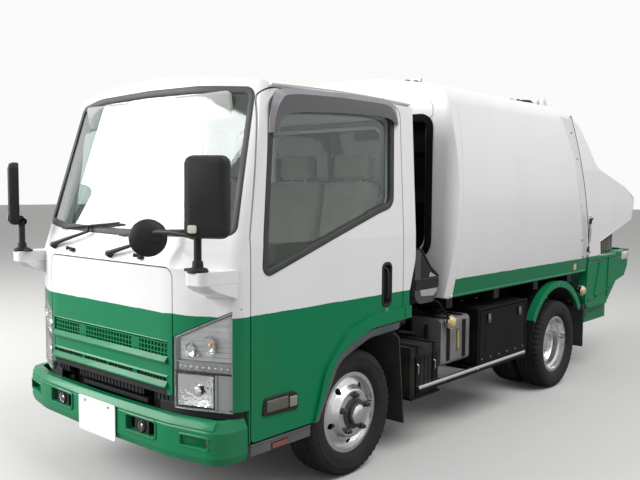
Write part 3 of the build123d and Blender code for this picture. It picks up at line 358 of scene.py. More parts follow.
def tyre_on(piece, middle, y):
    """A tyre: its section turned about the wheel's axis, with slots in the shoulders and wavy grooves."""
    last = len(section) - 1
    loops = []
    for step in range(tread_steps):
        angle = tau * step / tread_steps
        wave = groove_wave * (1 if step % 8 < 4 else -1)
        loop = []
        for number, (place, radius) in enumerate(section):
            row = min(number, last - number)
            if step % 4 < 2 and row in lug_rows:
                radius -= lug_rows[row]
            if row in groove_rows:
                place += wave
            loop.append((middle + place, y + radius * cos(angle), wheel_height + radius * sin(angle)))
        loops.append(loop)
    piece.skin(loops, closed_loop=False, closed_run=True)


# Columns: piece, body, middles of its tyres across the truck, how far behind the front axle
tyre_places = [
    ("front_left_tyre", "front_left_wheel", (697.5,), 0),
    ("front_right_tyre", "front_right_wheel", (-697.5,), 0),
    ("rear_left_tyres", "rear_left_wheels", (737.5, 502.5), wheelbase),
    ("rear_right_tyres", "rear_right_wheels", (-737.5, -502.5), wheelbase),
]
for node, body, middles, y in tyre_places:
    tyre = Piece("treaded_" + node, tyre_rubber)
    for middle in middles:
        tyre_on(tyre, middle, y)
    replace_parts(tyre.mounted(body, "tyre_rubber", sharp=40), node)


# Wheels: pressed steel discs on rolled rims, plated bright, with five nuts round a dark hub ring.
# Brake dust and road film have dulled them a little.
wheel_bright = Finish("wheel_bright", (0.72, 0.72, 0.73), 0.2, Metallic=1.0)
film = wheel_bright.ramp(wheel_bright.noise(9.0, 5.0), (0.40, 0.0), (0.85, 1.0))
wheel_bright.set("Base Color", wheel_bright.blend(film * 0.4, (0.70, 0.70, 0.71), (0.36, 0.33, 0.30)))
wheel_bright.set("Roughness", 0.24 + 0.2 * film)
wheel_bright.bump(wheel_bright.noise(240.0, 2.0), 0.04, 0.0005)
dark_iron = finish_of("dark_iron", (0.035, 0.033, 0.032), 0.55, 0.6, 200.0, 0.3, (0.10, 0.075, 0.055))
# Columns: body, side, y, hub face
hubs = [
    ("front_left_wheel", 1, 0, 791.5), ("front_right_wheel", -1, 0, 791.5),
    ("rear_left_wheels", 1, wheelbase, 620), ("rear_right_wheels", -1, wheelbase, 620),
]
nuts, nut_circle, axle_bolts, axle_bolt_circle = 5, 101.6, 8, 68


def around(count, first, circle, y):
    """Evenly spaced places on a circle about the wheel's middle, from a first angle."""
    for number in range(count):
        angle = first + tau * number / count
        yield 0, y + circle * cos(angle), wheel_height + circle * sin(angle)


for body, side, y, face in hubs:
    hub = Piece("hub_of_" + body, wheel_bright.material, dark_iron)
    middle = (0, y, wheel_height)
    steered = y == 0
    start = face + (7 if steered else 8)
    # Columns: how proud of the seat, radius
    nut = [(0, 0), (0, 19), (5, 19), (7, 16.5), (22, 16.5), (26, 12), (34, 11), (36, 8), (36, 0)]
    for centre in around(nuts, pi / 2, nut_circle, y):
        hub.turned([(start + proud, radius) for proud, radius in nut], centre, 6, paint=1)
    collar = [(face + 8, 62), (face + 8, 82), (face + 13, 84), (face + 15, 80), (face + 15, 58)]
    hub.turned(collar, middle, 48, closed=True, paint=1)
    if steered:
        cap = [(face + 30, 54), (face + 44, 50), (face + 52, 40), (face + 55, 22), (face + 55.5, 0)]
        hub.turned(cap, middle, 40, paint=0)
        hub.turned([(face + 6, 60), (face + 32, 58), (face + 36, 52)], middle, 40, paint=1)
    else:
        outer = face + 118
        cap = [(outer, 86), (outer + 6, 82), (outer + 10, 60), (outer + 13, 30), (outer + 13, 0)]
        hub.turned(cap, middle, 40, paint=1)
        for centre in around(axle_bolts, 0.2, axle_bolt_circle, y):
            hub.turned([(outer + 4, 0), (outer + 4, 9), (outer + 16, 9), (outer + 17, 0)], centre, 6, paint=1)
    rim_middle = 697.5 if steered else 737.5
    valve = [(rim_middle + 40, y + 158, wheel_height + 24), (rim_middle + 66, y + 170, wheel_height + 26),
             (rim_middle + 88, y + 174, wheel_height + 27)]
    hub.pipe(valve, 4.5, 8, paint=1)
    if side < 0:
        hub.mirror()
    hub.mounted(body, "wheel_silver", bevel=0.8)


# Axles, springs and frame: forged and pressed steel under black chassis paint, bolted and riveted up.
# Road grime lies on all of it.
def dress(material, *names):
    """Gives CAD nodes their material."""
    for name in names:
        nodes[name].data.materials.clear()
        nodes[name].data.materials.append(material)


# The tree that repeats a piece in a row: copies on the points of a line, made real and given their material.
row_tree = bpy.data.node_groups.new("row_of_pieces", "GeometryNodeTree")
for name, kind in (("Geometry", "Geometry"), ("Count", "Int"), ("Step", "Vector"), ("Material", "Material")):
    row_tree.interface.new_socket(name, in_out="INPUT", socket_type="NodeSocket" + kind)
row_tree.interface.new_socket("Geometry", in_out="OUTPUT", socket_type="NodeSocketGeometry")
row_kinds = ("NodeGroupInput", "GeometryNodeMeshLine", "GeometryNodeInstanceOnPoints",
             "GeometryNodeRealizeInstances", "GeometryNodeSetMaterial", "NodeGroupOutput")
given, line, copies, whole, coat, result = [row_tree.nodes.new(kind) for kind in row_kinds]
for start, out, end, into in (
    (given, "Count", line, "Count"), (given, "Step", line, "Offset"), (line, "Mesh", copies, "Points"),
    (given, "Geometry", copies, "Instance"), (copies, "Instances", whole, "Geometry"),
    (whole, "Geometry", coat, "Geometry"), (given, "Material", coat, "Material"),
    (coat, "Geometry", result, "Geometry"),
):
    row_tree.links.new(start.outputs[out], end.inputs[into])
row_inputs = {item.name: item.identifier for item in row_tree.interface.items_tree if item.in_out == "INPUT"}


def repeat(piece, count, step, paint=0):
    """Repeats everything drawn so far in a row, each copy a step further on, in one of its materials."""
    drawn = bpy.data.meshes.new("item")
    piece.mesh.to_mesh(drawn)
    item = bpy.data.objects.new("item", drawn)
    bpy.context.scene.collection.objects.link(item)
    row = item.modifiers.new("row", "NODES")
    row.node_group = row_tree
    row[row_inputs["Count"]] = count
    row[row_inputs["Step"]] = [float(part) for part in step]
    row[row_inputs["Material"]] = piece.materials[paint]
    made = bpy.data.meshes.new_from_object(item.evaluated_get(bpy.context.evaluated_depsgraph_get()))
    piece.mesh.clear()
    piece.mesh.from_mesh(made)
    for face in piece.mesh.faces:
        face.material_index = paint
    bpy.data.objects.remove(item)
    for mesh in (drawn, made):
        bpy.data.meshes.remove(mesh)


dress(wheel_bright.material, "front_left_wheel", "front_right_wheel", "rear_left_wheels", "rear_right_wheels")
# Black chassis paint, made darker than black paint is so that the parts under the truck look deep in shade:
# partly painted shade.
black_steel = finish_of("black_steel", (0.005, 0.005, 0.006), 0.55, 0.5, 300.0, 0.15, (0.022, 0.020, 0.018),
                        Specular_IOR_Level=0.12)
cast_iron = finish_of("cast_iron", (0.018, 0.018, 0.018), 0.6, 0.6, 120.0, 0.4, (0.060, 0.050, 0.040))
bolt_steel = finish_of("bolt_steel", (0.34, 0.33, 0.32), 0.35, 0.6, 200.0, 0.1, (0.16, 0.10, 0.06),
                       Metallic=1.0)
dress(cast_iron, "front_axle", "left_knuckle", "right_knuckle", "rear_axle", "engine")
dress(black_steel, "tie_rod", "leaf_springs", "chassis_frame", "radiator", "rear_bumper")

rivets = Piece("frame_rivets", black_steel)
rivets.turned([(375, 9), (378, 8), (380, 4), (380.5, 0)], (0, -860, 530), 8)
repeat(rivets, 38, (0, 100, 0))
repeat(rivets, 2, (0, 0, 120))
rivets.both_sides()
rivets.mounted("chassis", "black_steel")

shackles = Piece("spring_clamps", black_steel, bolt_steel)
# Columns: middle of the spring, its seat, inner side, half length, leaves' depth
for middle, seat, inner, reach, depth in ((0, 361, 318, 52, 30), (wheelbase, 446, 335, 64, 58)):
    for y in (middle - reach, middle + reach):
        for x in (inner - 8, inner + 68):
            shackles.pipe([(x, y, seat - depth - 46), (x, y, seat + 34)], 7, 8, paint=1)
        shackles.box((inner - 14, inner + 74), (y - 12, y + 12), (seat + 14, seat + 24))
shackles.both_sides()
shackles.mounted("chassis", "black_steel", bevel=1)

dampers = Piece("dampers_and_lines", black_steel, bolt_steel)
damper_x, rear = 296, wheelbase
dampers.pipe([(damper_x, 150, 330), (damper_x, 240, 520)], 26, 14)
dampers.pipe([(damper_x, 235, 505), (damper_x, 285, 640)], 15, 12, paint=1)
dampers.pipe([(damper_x, rear - 130, 330), (damper_x, rear - 250, 540)], 28, 14)
dampers.pipe([(damper_x, rear - 245, 530), (damper_x, rear - 300, 650)], 16, 12, paint=1)
brake_line = [(-600, 642), (300, 642), (470, 640), (2300, 640), (2700, 645)]
dampers.pipe([(384, y, z) for y, z in brake_line], 5, 6)
dampers.both_sides()
dampers.mounted("chassis", "black_steel")


# Engine, radiator and exhaust: the block stays as the CAD's; ribs, a sump, a fan and the core's fins
# show from below and through the gap under the grille.
grey_alloy = finish_of("grey_alloy", (0.20, 0.20, 0.20), 0.45, 0.7, 150.0, 0.3, (0.09, 0.075, 0.06),
                       Metallic=0.8)
ribs = Piece("engine_ribs", cast_iron, grey_alloy)
ribs.box((250, 262), (-298, -282), (470, 840))
ribs.box((-282, -270), (-298, -282), (470, 840))
ribs.box((-200, 190), (-296, -284), (418, 431))
repeat(ribs, 7, (0, 110, 0))
ribs.upward([(-180, -270), (170, -270), (170, 250), (-180, 250)], 398, 431, paint=1)
fan_centre = Vector((0, 0, 640))
ribs.turned([(-352, 60), (-352, 250), (-336, 250), (-336, 60)], fan_centre, 40, axis="Y", closed=True)
fan_blades = 8
for number in range(fan_blades):
    blade = ribs.box((40, 235), (-368, -362), (-40, 50))
    turn = Matrix.Rotation(tau * number / fan_blades, 4, "Y")
    ribs.move(blade, Matrix.Translation(fan_centre) @ turn)
ribs.mounted("chassis", "cast_metal", bevel=3)

core_fins = finish_of("core_fins", (0.10, 0.10, 0.095), 0.5, 0.5, 60.0, 0.2, (0.20, 0.18, 0.14), Metallic=0.7)
core = Piece("radiator_core", core_fins, black_steel)
core.box((-288, 288), (-727, -720), (512, 515))
repeat(core, 52, (0, 0, 6.2))
for place in (-294, 288):
    core.box((place, place + 6), (-734, -719), (505, 830), paint=1)
core.mounted("chassis", "black_steel")

rust_steel = finish_of("rust_steel", (0.14, 0.10, 0.075), 0.65, 0.8, 60.0, 0.4, (0.24, 0.13, 0.07),
                       Metallic=0.5)
dress(rust_steel, "exhaust")
silencer = Piece("silencer_straps", black_steel)
# Columns: middle, half width, inner and outer radius
straps = [(place, 14, 92.5, 96) for place in (1220, 1450, 1690)] + [(1122, 4, 88, 97), (1798, 4, 88, 97)]
for place, half, inner, outer in straps:
    rows = [(place - half, inner), (place - half, outer), (place + half, outer), (place + half, inner)]
    silencer.turned(rows, (200, 0, 430), 40, axis="Y", closed=True)
silencer.mounted("chassis", "exhaust_steel")


# Battery box: a black moulded cover over the batteries on a steel tray, held by two straps with handles.
# Its plastic is chalky and grey with dust, and it is made near black as painted shade under the truck.
grey_plastic = finish_of("grey_plastic", (0.045, 0.047, 0.052), 0.6, 0.4, 500.0, 0.25)
dark_plastic = finish_of("dark_plastic", (0.011, 0.011, 0.013), 0.5, 0.3, 500.0, 0.2, Specular_IOR_Level=0.3)
dusty_plastic_and_shade = finish_of("dusty_plastic_and_shade", (0.014, 0.014, 0.014), 0.7, 0.8, 300.0, 0.3, (0.055, 0.050, 0.045),
                          Specular_IOR_Level=0.2)
dress(dusty_plastic_and_shade, "battery_box")
battery = Piece("battery_cover", dusty_plastic_and_shade, black_steel, bolt_steel)
battery.box((832, 837), (495, 505), (340, 556))
repeat(battery, 7, (0, 43, 0))
battery.box((446, 837), (476, 782), (560, 622))
for place in (540, 718):
    battery.box((440, 842), (place - 13, place + 13), (622, 626), paint=1)
    battery.box((838, 842), (place - 13, place + 13), (330, 626), paint=1)
    battery.pipe([(842, place, 520), (850, place, 514), (850, place, 468), (842, place, 462)], 5, 8, paint=2)
battery.box((438, 844), (472, 786), (314, 326), paint=1)
battery.mounted("chassis", "grey_steel", bevel=3)


# Oil tank: folded grey steel with two black straps, a filler cap on a neck, a breather and a sight glass.
# Its hoses run inboard to the pump.
tank_grey = finish_of("tank_grey", (0.20, 0.195, 0.19), 0.5, 0.8, 60.0, 0.2, (0.09, 0.08, 0.07))
dress(tank_grey, "oil_tank")
sight_glass = finish_of("sight_glass", (0.55, 0.42, 0.12), 0.2, 0.3)


def strap_round(piece, rows, places, half):
    """Thin open bands round a tank whose outline is given as (x, z)."""
    for place in places:
        piece.skin([[(x, y, z) for x, z in rows] for y in (place - half, place + half)], capped=False)


tank = Piece("oil_tank_fittings", black_steel, bolt_steel, sight_glass)
strap_round(tank, [(803.5, 470), (803.5, 705), (778, 738), (474, 738), (447, 705), (447, 470), (474, 437),
                   (776, 437)], (940, 1128), 20)
tank.turned([(735, 38), (752, 38), (754, 46), (776, 46), (780, 40), (781, 0)], (640, 1030, 0), 28, axis="Z")
tank.turned([(735, 13), (760, 13), (762, 22), (790, 22), (796, 16), (797, 0)], (560, 910, 0), 20, axis="Z")
tank.box((799, 806), (1040, 1064), (520, 660), paint=1)
tank.box((804, 808), (1046, 1058), (532, 648), paint=2)
for height in (528, 652):
    tank.turned([(806, 0), (806, 5), (812, 5), (812, 0)], (0, 1052, height), 6, paint=1)
tank.pipe([(700, 1196, 560), (700, 1224, 555), (600, 1236, 540), (430, 1236, 520)], 17, 12)
tank.pipe([(620, 860, 500), (620, 838, 495), (560, 820, 480), (420, 815, 470)], 14, 12)
tank.mounted("chassis", "grey_steel", bevel=1.5)


# Fuel tank on the right: black steel held by two straps, with a locking cap.
# The straps are bright, and the cap stands on the flat top.
dress(black_steel, "fuel_tank")
fuel = Piece("fuel_tank_fittings", bolt_steel, black_steel)
strap_round(fuel, [(-818, 442), (-818, 648), (-806, 694), (-745, 723), (-520, 723), (-462, 694), (-447, 648),
                   (-447, 442), (-462, 396), (-520, 367), (-745, 367), (-806, 396)], (760, 1150), 22)
fuel_cap = [(718, 34), (730, 34), (732, 42), (752, 42), (756, 36), (757, 0)]
fuel.turned(fuel_cap, (-700, 680, 0), 28, axis="Z", paint=1)
fuel.mounted("chassis", "black_steel", bevel=1.5)


# Toolbox: a black steel box with a drop-down lid; the lid has a pressed border and two over-centre latches.
# Its edges are folded over and bolted.
dress(black_steel, "toolbox", "toolbox_lid")
lid = Piece("toolbox_lid_trim", black_steel, bolt_steel)
lid.bolt(846, 7, 4, (0, 1290, 424))
repeat(lid, 6, (0, 118, 0), paint=1)
lid_front, lid_rear, lid_foot, lid_head, border = 1262, 1911, 402, 742, 6
for y, z in (((lid_front, lid_rear), (lid_head - border, lid_head)),
             ((lid_front, lid_rear), (lid_foot, lid_foot + border)),
             ((lid_front, lid_front + border), (lid_foot, lid_head)),
             ((lid_rear - border, lid_rear), (lid_foot, lid_head))):
    lid.box((845, 849), y, z)
lid.box((845.5, 847.5), (1330, 1843), (470, 660))
for place in (1368, 1805):
    lid.box((854, 858), (place - 15, place + 15), (664, 722), paint=1)
    lid.pipe([(856, place - 10, 690), (864, place, 700), (864, place, 668), (857, place, 660)], 4, 8, paint=1)
lid.mounted("toolbox_lid", "black_steel", bevel=1)
boards = Piece("toolbox_edges", black_steel, bolt_steel)
boards.box((846, 848), (1236, 1937), (764, 768))
boards.box((480, 846), (1234, 1238), (400, 766))
for place in (1300, 1500, 1700, 1880):
    boards.bolt(763, 9, 6, (560, place, 0), axis="Z", paint=1)
boards.mounted("chassis", "black_steel", bevel=1)


# Air intake: a black sloping cowl with louvres over pale painted faces that a black rubber band parts.
# It stands behind the cab's left rear corner, on a post from the frame.
dress(grey_plastic, "air_intake")
pale_metal = finish_of("pale_metal", (0.55, 0.56, 0.57), 0.3, 0.5, 100.0, 0.1, (0.36, 0.34, 0.32),
                       Metallic=0.6)
intake = Piece("air_intake_faces", pale_metal, dark_plastic)
intake.across([(608, 1021), (608, 1160), (694, 1063), (782, 1018)], 560, 815, paint=1)
intake.across([(690, 1022), (704, 1050), (776, 1021)], 558, 817)
intake.across([(612, 912), (744, 904), (784, 932), (784, 950), (600, 950)], 560, 814)
intake.across([(548, 956), (788, 956), (794, 1010), (548, 1014)], 557, 819, paint=1)
hood_rows = [(596, 1192), (603, 1199), (706, 1084), (796, 1024), (790, 1014), (700, 1074)]
intake.across(hood_rows, 556, 820, paint=1)
louvres = 7
for number in range(louvres):
    share = number / (louvres - 1)
    y, z = 618 + 76 * share, 1182 - 84 * share
    intake.across([(y, z), (y + 13, z + 3), (y + 10, z - 8)], 584, 790, paint=1)
intake.mounted("chassis", "trim_plastic", bevel=2.5)


# Under-cab clutter behind the front wheel: brackets, hoses and a cable run, black and dusty.
# The hoses lie between the frame and the cab's floor, clear of the wheel.
clutter = Piece("hoses_behind_cab", dark_plastic, bolt_steel, black_steel)
clutter.pipe([(520, 470, 640), (640, 500, 700), (700, 560, 760), (700, 600, 850), (690, 660, 870)], 34, 14)
clutter.pipe([(400, 520, 700), (480, 560, 780), (560, 600, 820), (620, 700, 800), (560, 820, 760)], 16, 10)
clutter.pipe([(400, 600, 560), (520, 640, 640), (600, 700, 660), (640, 800, 640), (620, 852, 600)], 12, 10)
clutter.box((430, 452), (440, 474), (500, 760), paint=2)
clutter.box((380, 620), (796, 806), (560, 760), paint=2)
clutter.box((700, 712), (820, 850), (352, 700), paint=2)
clutter.pipe([(700, 452, 560), (700, 462, 690), (640, 470, 760)], 8, 8, paint=1)
clutter.mounted("chassis", "black_steel", bevel=2)


# Side rails: aluminium tube along both sides, low between the wheels. The left one runs on under the toolbox
# to a bracket behind it.
rail_silver = Finish("rail_silver", (0.66, 0.67, 0.68), 0.3, Metallic=1.0)
# Below a height the tube is near black and rougher: painted shade under its lit top, which leaves a thin
# bright line.
rail_painted_shade = rail_silver.place("Z") < 0.372
rail_silver.set("Base Color", rail_silver.blend(rail_painted_shade, (0.62, 0.63, 0.64), (0.025, 0.025, 0.024)))
rail_silver.set("Roughness", 0.3 + 0.4 * rail_painted_shade)
dress(black_steel, "side_guards")
guard = Piece("guard_rails", rail_silver.material, bolt_steel)
# Columns: side, front end, rear end, places of the posts
for side, low_y, high_y, posts in ((1, 545, 1900, (817, 1219, 1880)), (-1, 1310, 1960, (1380, 1830))):
    rows = [(834, 350), (834, 390), (853, 390), (856, 384), (856, 356), (853, 350)]
    guard.along([(side * x, z) for x, z in rows], low_y - 2, high_y + 2)
    for place in posts:
        guard.bolt(side * 856, 8, side * 5, (0, place, 370), paint=1)
guard.pipe([(843, 1880, 366), (812, 1880, 366), (800, 1880, 384), (800, 1880, 400)], 9, 10, paint=1)
guard.mounted("chassis", "guard_silver", bevel=1.5)


# Panel paint: white enamel above a green band, both clear-coated. The colours meet along a hand-masked
# line that wavers a little; dust lies low down and thin grey runs come down the white.
white, green = (0.80, 0.795, 0.80), (0.003, 0.195, 0.080)
shade_black, dust = (0.008, 0.008, 0.009), (0.13, 0.12, 0.10)


def panel_paint(name, line, upper=white, under=None, behind=None, inboard=None):
    """Enamel that is green below a line, black under a height, and black nearer the middle than inboard."""
    paint = Finish(name, upper, 0.3, Coat_Weight=0.10, Coat_Roughness=0.05, Specular_IOR_Level=0.12)
    height = paint.place("Z")
    colour = upper
    if line is not None:
        waver = paint.noise(9.0, 2.0, (1, 1, 0.1)) * 0.009 + paint.noise(60.0, 1.0, (1, 1, 0.1)) * 0.003
        above = (height + waver) > (line + 0.006)
        if behind is not None:
            above = above.math("MAXIMUM", paint.place("Y") < behind)
        colour = paint.blend(above, green, upper)
    if under is not None:
        colour = paint.blend(height < under, colour, shade_black)
    # Nearer the middle than inboard the paint is black: painted shade, with dirt, inside the rear fenders.
    if inboard is not None:
        across = paint.place("X")
        colour = paint.blend(across * across < inboard ** 2, colour, shade_black)
    runs = paint.ramp(paint.noise(2.6, 7.0, (7.0, 7.0, 0.35)), (0.50, 0.0), (0.86, 1.0))
    patches = paint.ramp(paint.noise(2.2, 6.0, (1.0, 1.0, 0.35)), (0.42, 0.0), (0.78, 1.0))
    low_down = paint.ramp(height, (0.3, 1.0), (1.1, 0.0))
    cover = patches * 0.05 + low_down * patches * 0.2 + runs * 0.035
    paint.set("Base Color", paint.blend(cover, colour, dust))
    paint.set("Roughness", 0.22 + 0.9 * cover)
    wave = paint.noise(5.0, 2.0) * 0.9 + paint.noise(260.0, 2.0) * 0.02
    paint.bump(wave, 0.12, 0.004)
    return paint.material


cab_paint = panel_paint("cab_paint", 0.972)
green_paint = panel_paint("green_paint", None, upper=green)


# Front bumper: one pressed blade round both corners, in the cab's green. Fog lamps sit deep in two
# openings, blank recesses lie outboard of them, and a step runs along its top.
def rounded(rows, steps=6):
    """Points along a closed outline from rows of (first, second, corner radius)."""
    points = []
    for number, (first, second, radius) in enumerate(rows):
        corner = Vector((first, second))
        before = Vector(rows[number - 1][:2])
        after = Vector(rows[(number + 1) % len(rows)][:2])
        way_in, way_out = (corner - before).normalized(), (after - corner).normalized()
        turn = way_in.angle(way_out)
        if radius < 0.5 or turn < 0.02:
            points.append(tuple(corner))
            continue
        reach = radius * sin(turn / 2) / cos(turn / 2)
        start, end = corner - way_in * reach, corner + way_out * reach
        centre = corner + (way_out - way_in).normalized() * (radius / cos(turn / 2))
        for share in spread(0, 1, steps):
            spot = start.lerp(corner, share).lerp(corner.lerp(end, share), share)
            points.append(tuple(centre + (spot - centre).normalized() * radius))
    return points


def rounded_box(left, right, low, high, radius, top_radius=None, steps=6):
    """A rectangle with rounded corners; its upper two can have a radius of their own."""
    top = top_radius or radius
    return rounded([(left, low, radius), (right, low, radius), (right, high, top), (left, high, top)], steps)


def grown(points, by):
    """The outline moved outwards by a distance; a negative distance moves it in."""
    area = sum(a[0] * b[1] - b[0] * a[1] for a, b in zip(points, points[1:] + points[:1]))
    sign = 1 if area > 0 else -1
    moved = []
    for number, point in enumerate(points):
        before, after = Vector(points[number - 1]), Vector(points[(number + 1) % len(points)])
        here = Vector(point)
        first, second = (here - before).normalized(), (after - here).normalized()
        way = (first + second).normalized()
        stretch = 1 / max(0.5, way.dot(second))
        moved.append((point[0] + way.y * sign * by * stretch, point[1] - way.x * sign * by * stretch))
    return moved


def sheet(piece, points, rows, surface, paint=0, closed=False):
    """A skin over an outline, laid on a surface: rows of (how far out, how proud)."""
    outlines = [[surface(*point, proud) for point in grown(points, out)] for out, proud in rows]
    return piece.skin(outlines, closed_run=closed, paint=paint)


def ring(piece, points, rows, surface, paint=0):
    """A closed strip round an outline, laid on a surface: rows of (how far out, how proud)."""
    return sheet(piece, points, rows, surface, paint, closed=True)


def facing_ahead(x, z, y):
    """The surface for an outline of (x, z) whose rows give y."""
    return x, y, z


def facing_side(y, z, x):
    """The surface for an outline of (y, z) whose rows give x."""
    return x, y, z


def bumper_front(x, z, proud):
    """The bumper's face at a place across: nearly flat, then swept back to the corners."""
    reach = abs(x)
    y = -1064 + 18 * (reach / 560) ** 2 if reach < 560 else -1046 + 61 * (reach - 560) / 290
    if reach > 775:
        y += (reach - 775) ** 2 / 90
    return x, y - proud, z


chrome = Finish("chrome", (0.80, 0.80, 0.80), 0.07, Metallic=1.0)
mirror_bowl = Finish("mirror_bowl", (0.80, 0.80, 0.80), 0.12, Metallic=1.0)
bowl_place = mirror_bowl.place()
facets = mirror_bowl.node("ShaderNodeTexVoronoi", {}, Vector=bowl_place, Scale=55.0, output="Distance")
mirror_bowl.bump(facets, 0.5, 0.006)
lamp_glass = Finish("lamp_glass", (0.95, 0.96, 0.96), 0.03, Transmission_Weight=1.0, IOR=1.35)
dress(green_paint, "front_bumper")
bumper = Piece("bumper_trim", green_paint, dark_plastic, bolt_steel)
fog_x, fog_z = 356, 425
opening = rounded_box(fog_x - 106, fog_x + 106, 390, 460, 10)
ring(bumper, opening, [(-1, -26), (1, 1.5), (7, 3.5), (13, 0)], bumper_front)
ring(bumper, opening, [(2, -60), (-4, -60), (-4, -30), (2, -24)], bumper_front, paint=1)
bumper.box((250, 462), (-1000, -994), (386, 464), paint=1)
bumper.pipe([(300, -1040, 494), (300, -1034, 506)], 8, 8, paint=2)
bumper.both_sides()
blank_rim = [(-2, -12), (0, 1.5), (6, 3.0), (11, -1)]
for left, right in ((627, 779), (-783, -631)):
    ring(bumper, rounded_box(left, right, 394, 440, 8), blank_rim, bumper_front)
# Columns: how far behind the bumper's face, height
step_rows = [(5, 472), (2, 480), (15, 506), (22, 512), (36, 511), (36, 505), (24, 505)]
bumper.skin([[bumper_front(x, z, -behind) for behind, z in step_rows] for x in spread(-800, 800, 40)])
# A dark sheet under the cab's front keeps the pale floor out of sight behind the bumper: painted shade under
# the truck.
shade_sheet = [(-790, -1000), (790, -1000), (790, -880), (560, -700), (-560, -700), (-790, -880)]
bumper.upward(shade_sheet, 436, 440, paint=1)
bumper.mounted("chassis", "green_paint", bevel=0.6)

fog = Piece("fog_lamps", dark_plastic, mirror_bowl.material, chrome.material)
fog_middle = (fog_x, 0, fog_z)
fog.box((300, 412), (-1046, -1000), (393, 457))
fog.turned([(-1050, 29), (-1053, 31), (-1050, 34), (-1040, 34)], fog_middle, 28, axis="Y")
fog.turned([(-1036, 0), (-1037, 7), (-1046, 7), (-1048, 4), (-1048, 0)], fog_middle, 16, axis="Y", paint=2)
fog.both_sides()
# The left lamp's bowl is dark plastic, a painted dark reflection, and the right one's is a bright mirror.
for x, paint in ((fog_x, 0), (-fog_x, 1)):
    fog.turned([(-1036, 0), (-1037, 12), (-1043, 24), (-1050, 29)], (x, 0, fog_z), 28, axis="Y", paint=paint)
fog.mounted("chassis", "dark_plastic", bevel=0.6)
fog_lens = Piece("fog_lamp_lenses", lamp_glass.material)
lens_rows = [(-1049, 30), (-1053, 27), (-1055, 18), (-1056, 0), (-1053, 0), (-1051, 26)]
fog_lens.turned(lens_rows, fog_middle, 28, axis="Y")
fog_lens.both_sides()
fog_lens.mounted("chassis", "lamp_glass")

# The plate is a thin pressed sheet with rounded corners and a rolled border, left blank, on a black bracket.
plate_white = finish_of("plate_white", (0.84, 0.84, 0.825), 0.4, 0.08, 200.0, 0.04)
plate = Piece("blank_plate", plate_white, black_steel)
# Columns: how far out, y
plate_rows = [(0, -1065), (0, -1067), (-1.5, -1068.2), (-5, -1068.2), (-7, -1067.2), (-9, -1066.8)]
sheet(plate, rounded_box(-165, 165, 304, 484, 12, steps=8), plate_rows, facing_ahead)
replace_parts(plate.mounted("chassis", "plate_metal", sharp=50), "number_plate")
bracket = Piece("plate_bracket", black_steel, bolt_steel)
bracket.box((-130, 130), (-1066, -1058), (318, 470))
plate_screw = [(-1068.4, 0), (-1069.5, 5), (-1068.4, 7), (-1066, 7)]
for place in (-105, 105):
    bracket.turned(plate_screw, (place, 0, 464), 16, axis="Y", paint=1)
bracket.mounted("chassis", "black_steel", bevel=1)


# Cab: a welded steel shell that tilts about a tube at its front. Seams are sealed, the drip edge runs round
# the roof, and the lamps, seals, mirrors and wipers are screwed on.
# Columns: height, half width, y of the corner, half width of the flat front, y of the front
cab_sections = [
    (300, 847, -880, 560, -1008), (1180, 847, -880, 560, -1008), (1290, 846, -850, 540, -950),
    (2006, 808, -650, 460, -745), (2170, 799, -604, 442, -698),
]
corner_start = 540


def cab_sizes(z):
    """The cab's half width, corner, flat front's half width and front at a height."""
    for lower, upper in zip(cab_sections, cab_sections[1:]):
        if z <= upper[0]:
            share = max(0.0, (z - lower[0]) / (upper[0] - lower[0]))
            return [first + (second - first) * share for first, second in zip(lower[1:], upper[1:])]
    return list(cab_sections[-1][1:])


def on_side(y, z, proud):
    """A place on the cab's left side."""
    return cab_sizes(z)[0] + proud, y, z


def front_line(z, proud=0.0, steps=10):
    """The cab's plan at a height, from its middle round the left corner, as (x, y) points."""
    half, corner, shoulder, front = cab_sizes(z)
    half, corner, front = half + proud, corner - 0.6 * proud, front - proud
    rows = [(0, front, 0), (shoulder, front, 500), (half, corner, 80), (half, 500, 0)]
    return rounded([(-half, 500, 0)] + rows, steps)[1:]


def on_front(x, z, proud):
    """A place on the cab's front, found along the plan line at that height."""
    line = front_line(z, proud)
    reach = abs(x)
    for first, second in zip(line, line[1:]):
        if first[0] <= reach <= second[0] and second[0] > first[0]:
            share = (reach - first[0]) / (second[0] - first[0])
            return x, first[1] + (second[1] - first[1]) * share, z
    return x, line[-1][1], z


def on_corner(distance, z, proud):
    """A place on the cab's front left corner, by the distance along the plan line from the corner's start."""
    line = [Vector(point) for point in front_line(z, proud, 16)]
    done = 0.0
    for first, second in zip(line, line[1:]):
        if second.x < corner_start:
            continue
        if first.x < corner_start:
            first = first.lerp(second, (corner_start - first.x) / (second.x - first.x))
        length = (second - first).length
        if done + length >= distance:
            return (*first.lerp(second, (distance - done) / length), z)
        done += length
    return (*line[-1], z)


rubber_seal = finish_of("rubber_seal", (0.024, 0.024, 0.025), 0.6, 0.5, 500.0, 0.2, (0.07, 0.07, 0.068))
dress(cab_paint, "cab_shell", "left_door", "right_door", "front_hatch")
lip_grey = finish_of("lip_grey", (0.085, 0.093, 0.103), 0.5, 0.5, 400.0, 0.15, (0.16, 0.16, 0.155))
dress(lip_grey, "cab_steps")

# The windscreen's rubber seal, and the rear window's.
screen_corners = rounded([
    (-793, 1345, 30), (-540, 1333, 0), (-270, 1322, 0), (0, 1318, 0), (270, 1322, 0), (540, 1333, 0),
    (793, 1345, 30), (727, 2006, 50), (400, 2029, 0), (0, 2038, 0), (-400, 2029, 0), (-727, 2006, 50),
], 8)
screen_outline = []
for first, second in zip(screen_corners, screen_corners[1:] + screen_corners[:1]):
    pieces = max(1, round((Vector(second) - Vector(first)).length / 40))
    screen_outline += [tuple(Vector(first).lerp(Vector(second), step / pieces)) for step in range(pieces)]


def on_back(x, z, proud):
    """A place on the cab's rear wall."""
    return x, 525 - (z - 1250) * 0.0227 + proud, z


